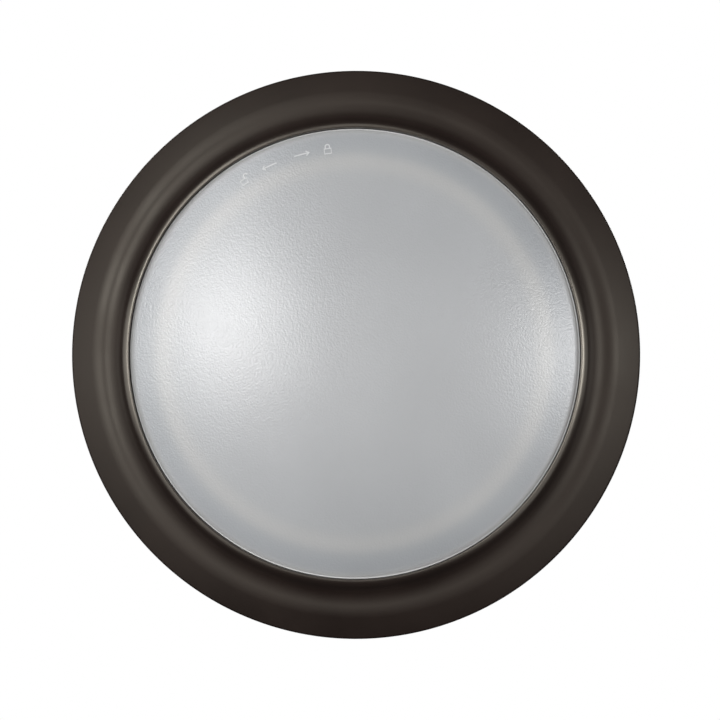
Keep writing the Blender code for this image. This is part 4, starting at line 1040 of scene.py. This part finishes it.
film_red = finish("film_capacitor_red", (0.42, 0.10, 0.06), 0.32, mottle=0.06)
film_bm = bmesh.new()
part_block(film_bm, (14.6, 3.0), (4.0, 12.0, 7.4))
film_foot = min(film_bm.faces, key=lambda face: -face.calc_center_median().y)
bmesh.ops.inset_region(film_bm, faces=[film_foot], thickness=0.4 * MM)
bmesh.ops.inset_region(film_bm, faces=[film_foot], thickness=0.1 * MM, depth=-0.5 * MM)
film = add_object("film_capacitor_box", film_bm)
soften(film, 0.3 * MM)
seat(film, "light", film_red, "film_capacitor")
epoxy_black = finish("black_moulded_epoxy", (0.020, 0.020, 0.021), 0.44, mottle=0.10, grain=0.25 * MM,
                     relief=0.02 * MM)
legged_part("rectifier_package", "bridge_rectifier", (-11.0, -11.0), (6.5, 5.0, 2.4), (-2.0, 2.0))
legged_part("driver_chip_package", "driver_chip", (8.6, 14.2), (5.0, 4.0, 1.6), (-1.9, -0.63, 0.63, 1.9))

terminal_bm = bmesh.new()
part_block(terminal_bm, (-9.4, 14.4), (10.0, 6.0, 6.2))
for lever_x in (-11.9, -6.9):
    part_block(terminal_bm, (lever_x, 14.9), (3.4, 3.6, 1.4), on_driver + 5.6 * MM)
terminal = add_object("supply_terminal", terminal_bm)
for mouth_x in (-11.9, -6.9):
    mouth_bm = bmesh.new()
    part_block(mouth_bm, (mouth_x, 11.4), (2.6, 3.0, 2.6), on_driver + 1.4 * MM)
    combine(terminal, mouth_bm, "DIFFERENCE")
soften(terminal, 0.2 * MM)
terminal_white = finish("terminal_white", (0.72, 0.73, 0.71), 0.38)
seat(terminal, "light", terminal_white, "input_terminal")

# The coated and wound parts: the varistor, a disc dipped in blue lacquer; the transformer, with tape around
# its winding between two ferrite halves; and the choke, a ferrite spool wound with enamelled wire.

varistor_x, varistor_z, varistor_round = -6.2 * MM, on_driver + 4.1 * MM, 3.5 * MM
varistor_sides = 30
disc = [at_angle(varistor_round, 360.0 * i / varistor_sides) for i in range(varistor_sides)]
varistor_bm = bmesh.new()
skins = []
for y, share in ((-8.3, 0.84), (-8.1, 0.93), (-7.7, 1.0), (-5.5, 1.0), (-5.1, 0.93), (-4.9, 0.84)):
    skin_points = [face_point(varistor_x + x * share, y * MM, varistor_z + z * share) for x, z in disc]
    skins.append([varistor_bm.verts.new(point) for point in skin_points])
varistor_bm.faces.new(skins[0])
varistor_bm.faces.new(skins[-1][::-1])
for skin, after in zip(skins, skins[1:]):
    for i in range(varistor_sides):
        j = (i + 1) % varistor_sides
        varistor_bm.faces.new((skin[i], skin[j], after[j], after[i]))
for leg_x in (-8.2, -4.2):
    part_block(varistor_bm, (leg_x, -6.6), (0.6, 0.6, 1.9))
lacquer_blue = finish("blue_lacquer", (0.05, 0.10, 0.32), 0.34, mottle=0.10, grain=0.8 * MM,
                      relief=0.05 * MM)
seat(add_object("varistor_disc", varistor_bm), "light", lacquer_blue, "varistor")

ferrite = finish("grey_ferrite", (0.075, 0.075, 0.078), 0.52, mottle=0.12, grain=0.3 * MM, relief=0.03 * MM)
winding_tape = finish("winding_tape", (0.55, 0.42, 0.06), 0.34, mottle=0.05, grain=0.9 * MM,
                      relief=0.02 * MM)
copper_wire = finish("enamelled_wire", (0.42, 0.14, 0.05), 0.30, mottle=0.10, grain=0.3 * MM,
                     relief=0.02 * MM)
transformer_bm = bmesh.new()
for core_side in (-1, 1):
    part_block(transformer_bm, (0.0, 3.2 + core_side * 5.2), (8.4, 2.0, 7.6))
part_block(transformer_bm, (0.0, 3.2), (8.4, 12.4, 1.2), on_driver + 6.4 * MM)
part_block(transformer_bm, (0.0, 3.2), (8.4, 12.4, 1.2))
part_block(transformer_bm, (0.0, 3.2), (10.8, 7.6, 5.0), on_driver + 1.3 * MM, 1)
for cheek in (-1, 1):
    part_block(transformer_bm, (cheek * 6.2, 3.2), (1.6, 8.8, 7.0))
transformer = add_object("wound_transformer", transformer_bm)
soften(transformer, 0.18 * MM)
seat(transformer, "light", ferrite, "transformer")
transformer.data.materials.append(winding_tape)

spool_radius, wound_radius, spool_lip, spool_height = 4.0 * MM, 3.2 * MM, 1.2 * MM, 6.8 * MM
choke_place = (12.0 * MM, -12.6 * MM)
upper_lip = on_driver + spool_height - spool_lip
choke_bm = bmesh.new()
for lip_foot in (on_driver, upper_lip):
    lip_corners = band(0.0, spool_radius, lip_foot, lip_foot + spool_lip)
    lathe(choke_bm, rounded(lip_corners, 0.2 * MM, 3), 32, choke_place)
before_wire = set(choke_bm.faces)
wire_rows = 11
wire_pitch = (spool_height - 2 * spool_lip) / wire_rows
coil_bore, wire_groove = 1.2 * MM, 0.12 * MM
coil = [(coil_bore, on_driver + spool_lip)]
for row in range(wire_rows):
    row_foot = on_driver + spool_lip + row * wire_pitch
    coil += [(wound_radius - wire_groove, row_foot), (wound_radius, row_foot + 0.5 * wire_pitch)]
coil += [(wound_radius - wire_groove, upper_lip), (coil_bore, upper_lip)]
lathe(choke_bm, coil, 32, choke_place)
for face in set(choke_bm.faces) - before_wire:
    face.material_index = 1
choke = seat(add_object("wound_choke", choke_bm, sharp=60.0), "light", ferrite, "choke")
choke.data.materials.append(copper_wire)

# The two round parts that lie on the board: the bulk capacitor, an aluminium can in a dark plain sleeve
# with a crimp near its foot, and the fuse, a ceramic tube with a metal cap pressed on each end.


def lying(name, outline, place, turn, sides=32):
    """A turned part laid on its side: the outline runs along its axis, and turn brings the axis down."""
    bm = bmesh.new()
    lathe(bm, outline, sides)
    bmesh.ops.transform(bm, matrix=Matrix.Translation(face_point(*place)) @ turn, verts=bm.verts)
    return add_object(name, bm, sharp=50.0)


can_radius, can_half = 4.0 * MM, 6.5 * MM
crimp_at, crimp_half, crimp_depth, can_top = 1.7 * MM, 0.5 * MM, 0.35 * MM, can_half - 0.2 * MM
can_outline = [(0.0, -can_half), (can_radius, -can_half), (can_radius, -can_half + crimp_at - crimp_half)]
can_outline += [(can_radius - crimp_depth, -can_half + crimp_at)]
can_outline += [(can_radius, -can_half + crimp_at + crimp_half), (can_radius, can_half)]
can_outline += [(can_radius - 0.7 * MM, can_half), (can_radius - 0.8 * MM, can_top), (0.0, can_top)]
sleeve = finish("dark_sleeve", (0.035, 0.042, 0.080), 0.28, mottle=0.06, grain=0.9 * MM)
along_face_y = Matrix.Rotation(-pi / 2, 4, "X")
can_place = (-14.2 * MM, 2.0 * MM, on_driver + can_radius)
bulk = lying("bulk_capacitor_can", rounded(can_outline, 0.3 * MM, 3), can_place, along_face_y)
seat(bulk, "light", sleeve, "bulk_capacitor")

fuse_radius, fuse_half, cap_length = 1.3 * MM, 4.0 * MM, 1.6 * MM
tube_radius, tube_half = fuse_radius - 0.2 * MM, fuse_half - cap_length
fuse_outline = [(0.0, -fuse_half), (fuse_radius, -fuse_half), (fuse_radius, -tube_half)]
fuse_outline += [(tube_radius, -tube_half), (tube_radius, tube_half)]
fuse_outline += [(fuse_radius, tube_half), (fuse_radius, fuse_half), (0.0, fuse_half)]
fuse_ceramic = finish("fuse_ceramic", (0.60, 0.58, 0.52), 0.30, mottle=0.05, grain=0.3 * MM)
along_face_x = Matrix.Rotation(pi / 2, 4, "Z")
fuse_place = (6.0 * MM, -6.6 * MM, on_driver + fuse_radius)
fuse = lying("ceramic_fuse", rounded(fuse_outline, 0.12 * MM, 2), fuse_place, along_face_x)
seat(fuse, "light", fuse_ceramic, "fuse")
fuse.data.materials.append(tinned)
for face in fuse.data.polygons:
    if abs(face.center.x - fuse_place[0]) > tube_half + 0.05 * MM:
        face.material_index = 1

# The driver cover: a white moulded cup over the power supply, with two screwed ears, a notch for the board
# link and a low ring on its top, where the mould's ejector pins have left round marks.

cover_outer, cover_inner, cover_top = 27.3 * MM, 26.1 * MM, 20.6 * MM
cover_wall, cover_corner, ring_inside, sunk = 1.2 * MM, 2.0 * MM, 19.2 * MM, 0.2 * MM
cover_outline = [(cover_inner, on_pan), (cover_outer, on_pan)]
cover_outline += arc((cover_outer - cover_corner, cover_top - cover_corner), cover_corner, 0.0, 90.0, 8)
cover_outline += [(ring_inside, cover_top), (ring_inside - sunk, cover_top - sunk), (0.0, cover_top - sunk)]
cover_outline += [(0.0, cover_top - cover_wall), (cover_inner - cover_corner / 2, cover_top - cover_wall)]
cover_outline += [(cover_inner, cover_top - cover_corner)]
cover_bm = bmesh.new()
lathe(cover_bm, cover_outline, 128)
cover = add_object("driver_cup", cover_bm, sharp=38.0)
ear_round, ear_high = 3.2 * MM, 8.3 * MM
for ear_place in cover_screw_angles:
    ear_bm = bmesh.new()
    tip_x, tip_y = at_angle(cover_screw_radius, ear_place)
    root_x, root_y = at_angle(cover_inner + cover_wall / 2, ear_place)
    side_x, side_y = at_angle(ear_round, ear_place + 90.0)
    ear_outline = arc((tip_x, tip_y), ear_round, ear_place - 90.0, ear_place + 90.0, 12)
    ear_outline += [(root_x + side_x, root_y + side_y), (root_x - side_x, root_y - side_y)]
    plate(ear_bm, ear_outline, on_pan + 0.1 * MM, ear_high)
    combine(cover, ear_bm, "UNION")
cut(cover, *hole_circle(cover_screw_radius, cover_screw_angles, small_hole), high=12.0 * MM)
notch_half, notch_deep, notch_top = 4.1 * MM, 2.4 * MM, 12.7 * MM
notch = band(-notch_half, notch_half, cover_outer - notch_deep, cover_outer + notch_deep)
cut(cover, notch, high=notch_top)
pin_circle, pin_radius, pin_foot = 14.0 * MM, 1.5 * MM, cover_top - sunk - 0.07 * MM
for pin_angle in (30.0, 120.0, 210.0, 300.0):
    cut(cover, hole_outline(at_angle(pin_circle, pin_angle), pin_radius, 32), low=pin_foot)
soften(cover, 0.12 * MM, 2)
cover_white = finish("white_moulded_cover", (0.80, 0.80, 0.78), 0.40, mottle=0.02, grain=0.5 * MM,
                     relief=0.012 * MM)
seat(cover, "light", cover_white, "driver_cover")

# The board link: a cream plug-in bridge with a ribbed back, from the driver board over the tray's rim and
# down to the LED board. Its leg carries the contacts.

link_near, link_leg, link_far = 20.0 * MM, 34.4 * MM, 38.0 * MM
link_foot, link_top, link_half = 10.5 * MM, 12.1 * MM, 3.5 * MM
grip_width, grip_pitch, grip_half = 1.0 * MM, 2.6 * MM, link_half - 0.5 * MM
link_bm = bmesh.new()
block(link_bm, (-link_half, link_near, link_foot), (link_half, link_far, link_top - 0.25 * MM))
block(link_bm, (-link_half, link_leg, on_board), (link_half, link_far, link_foot + 0.5 * MM))
for grip in range(7):
    grip_foot = link_near + grip_width + grip_pitch * grip
    block(link_bm, (-grip_half, grip_foot, link_top - 0.5 * MM),
          (grip_half, grip_foot + grip_width, link_top))
link = add_object("plug_in_bridge", link_bm)
soften(link, 0.12 * MM, 2)
link_cream = finish("link_cream_plastic", (0.74, 0.72, 0.66), 0.42)
seat(link, "light", link_cream, "board_link")

# The wire grommet: a soft black rubber ring whose waist grips the edge of the pan's supply hole, to keep the
# supply leads off the metal.

bore, waist, grommet_reach = 3.2 * MM, 4.3 * MM, 6.2 * MM
grommet_back, grommet_front, lip = 4.1 * MM, 7.5 * MM, 1.2 * MM
grommet_outline = [(bore, grommet_back - lip), (grommet_reach, grommet_back - lip)]
grommet_outline += [(grommet_reach, grommet_back), (waist, grommet_back), (waist, on_pan)]
grommet_outline += [(grommet_reach, on_pan), (grommet_reach - lip / 2, grommet_front), (bore, grommet_front)]
grommet_bm = bmesh.new()
lathe(grommet_bm, rounded(grommet_outline, 0.35 * MM, 3), 48, supply_place)
rubber = finish("soft_black_rubber", (0.022, 0.022, 0.022), 0.72, mottle=0.12, grain=0.5 * MM,
                relief=0.03 * MM)
seat(add_object("rubber_grommet", grommet_bm, sharp=60.0), "light", rubber, "wire_grommet")
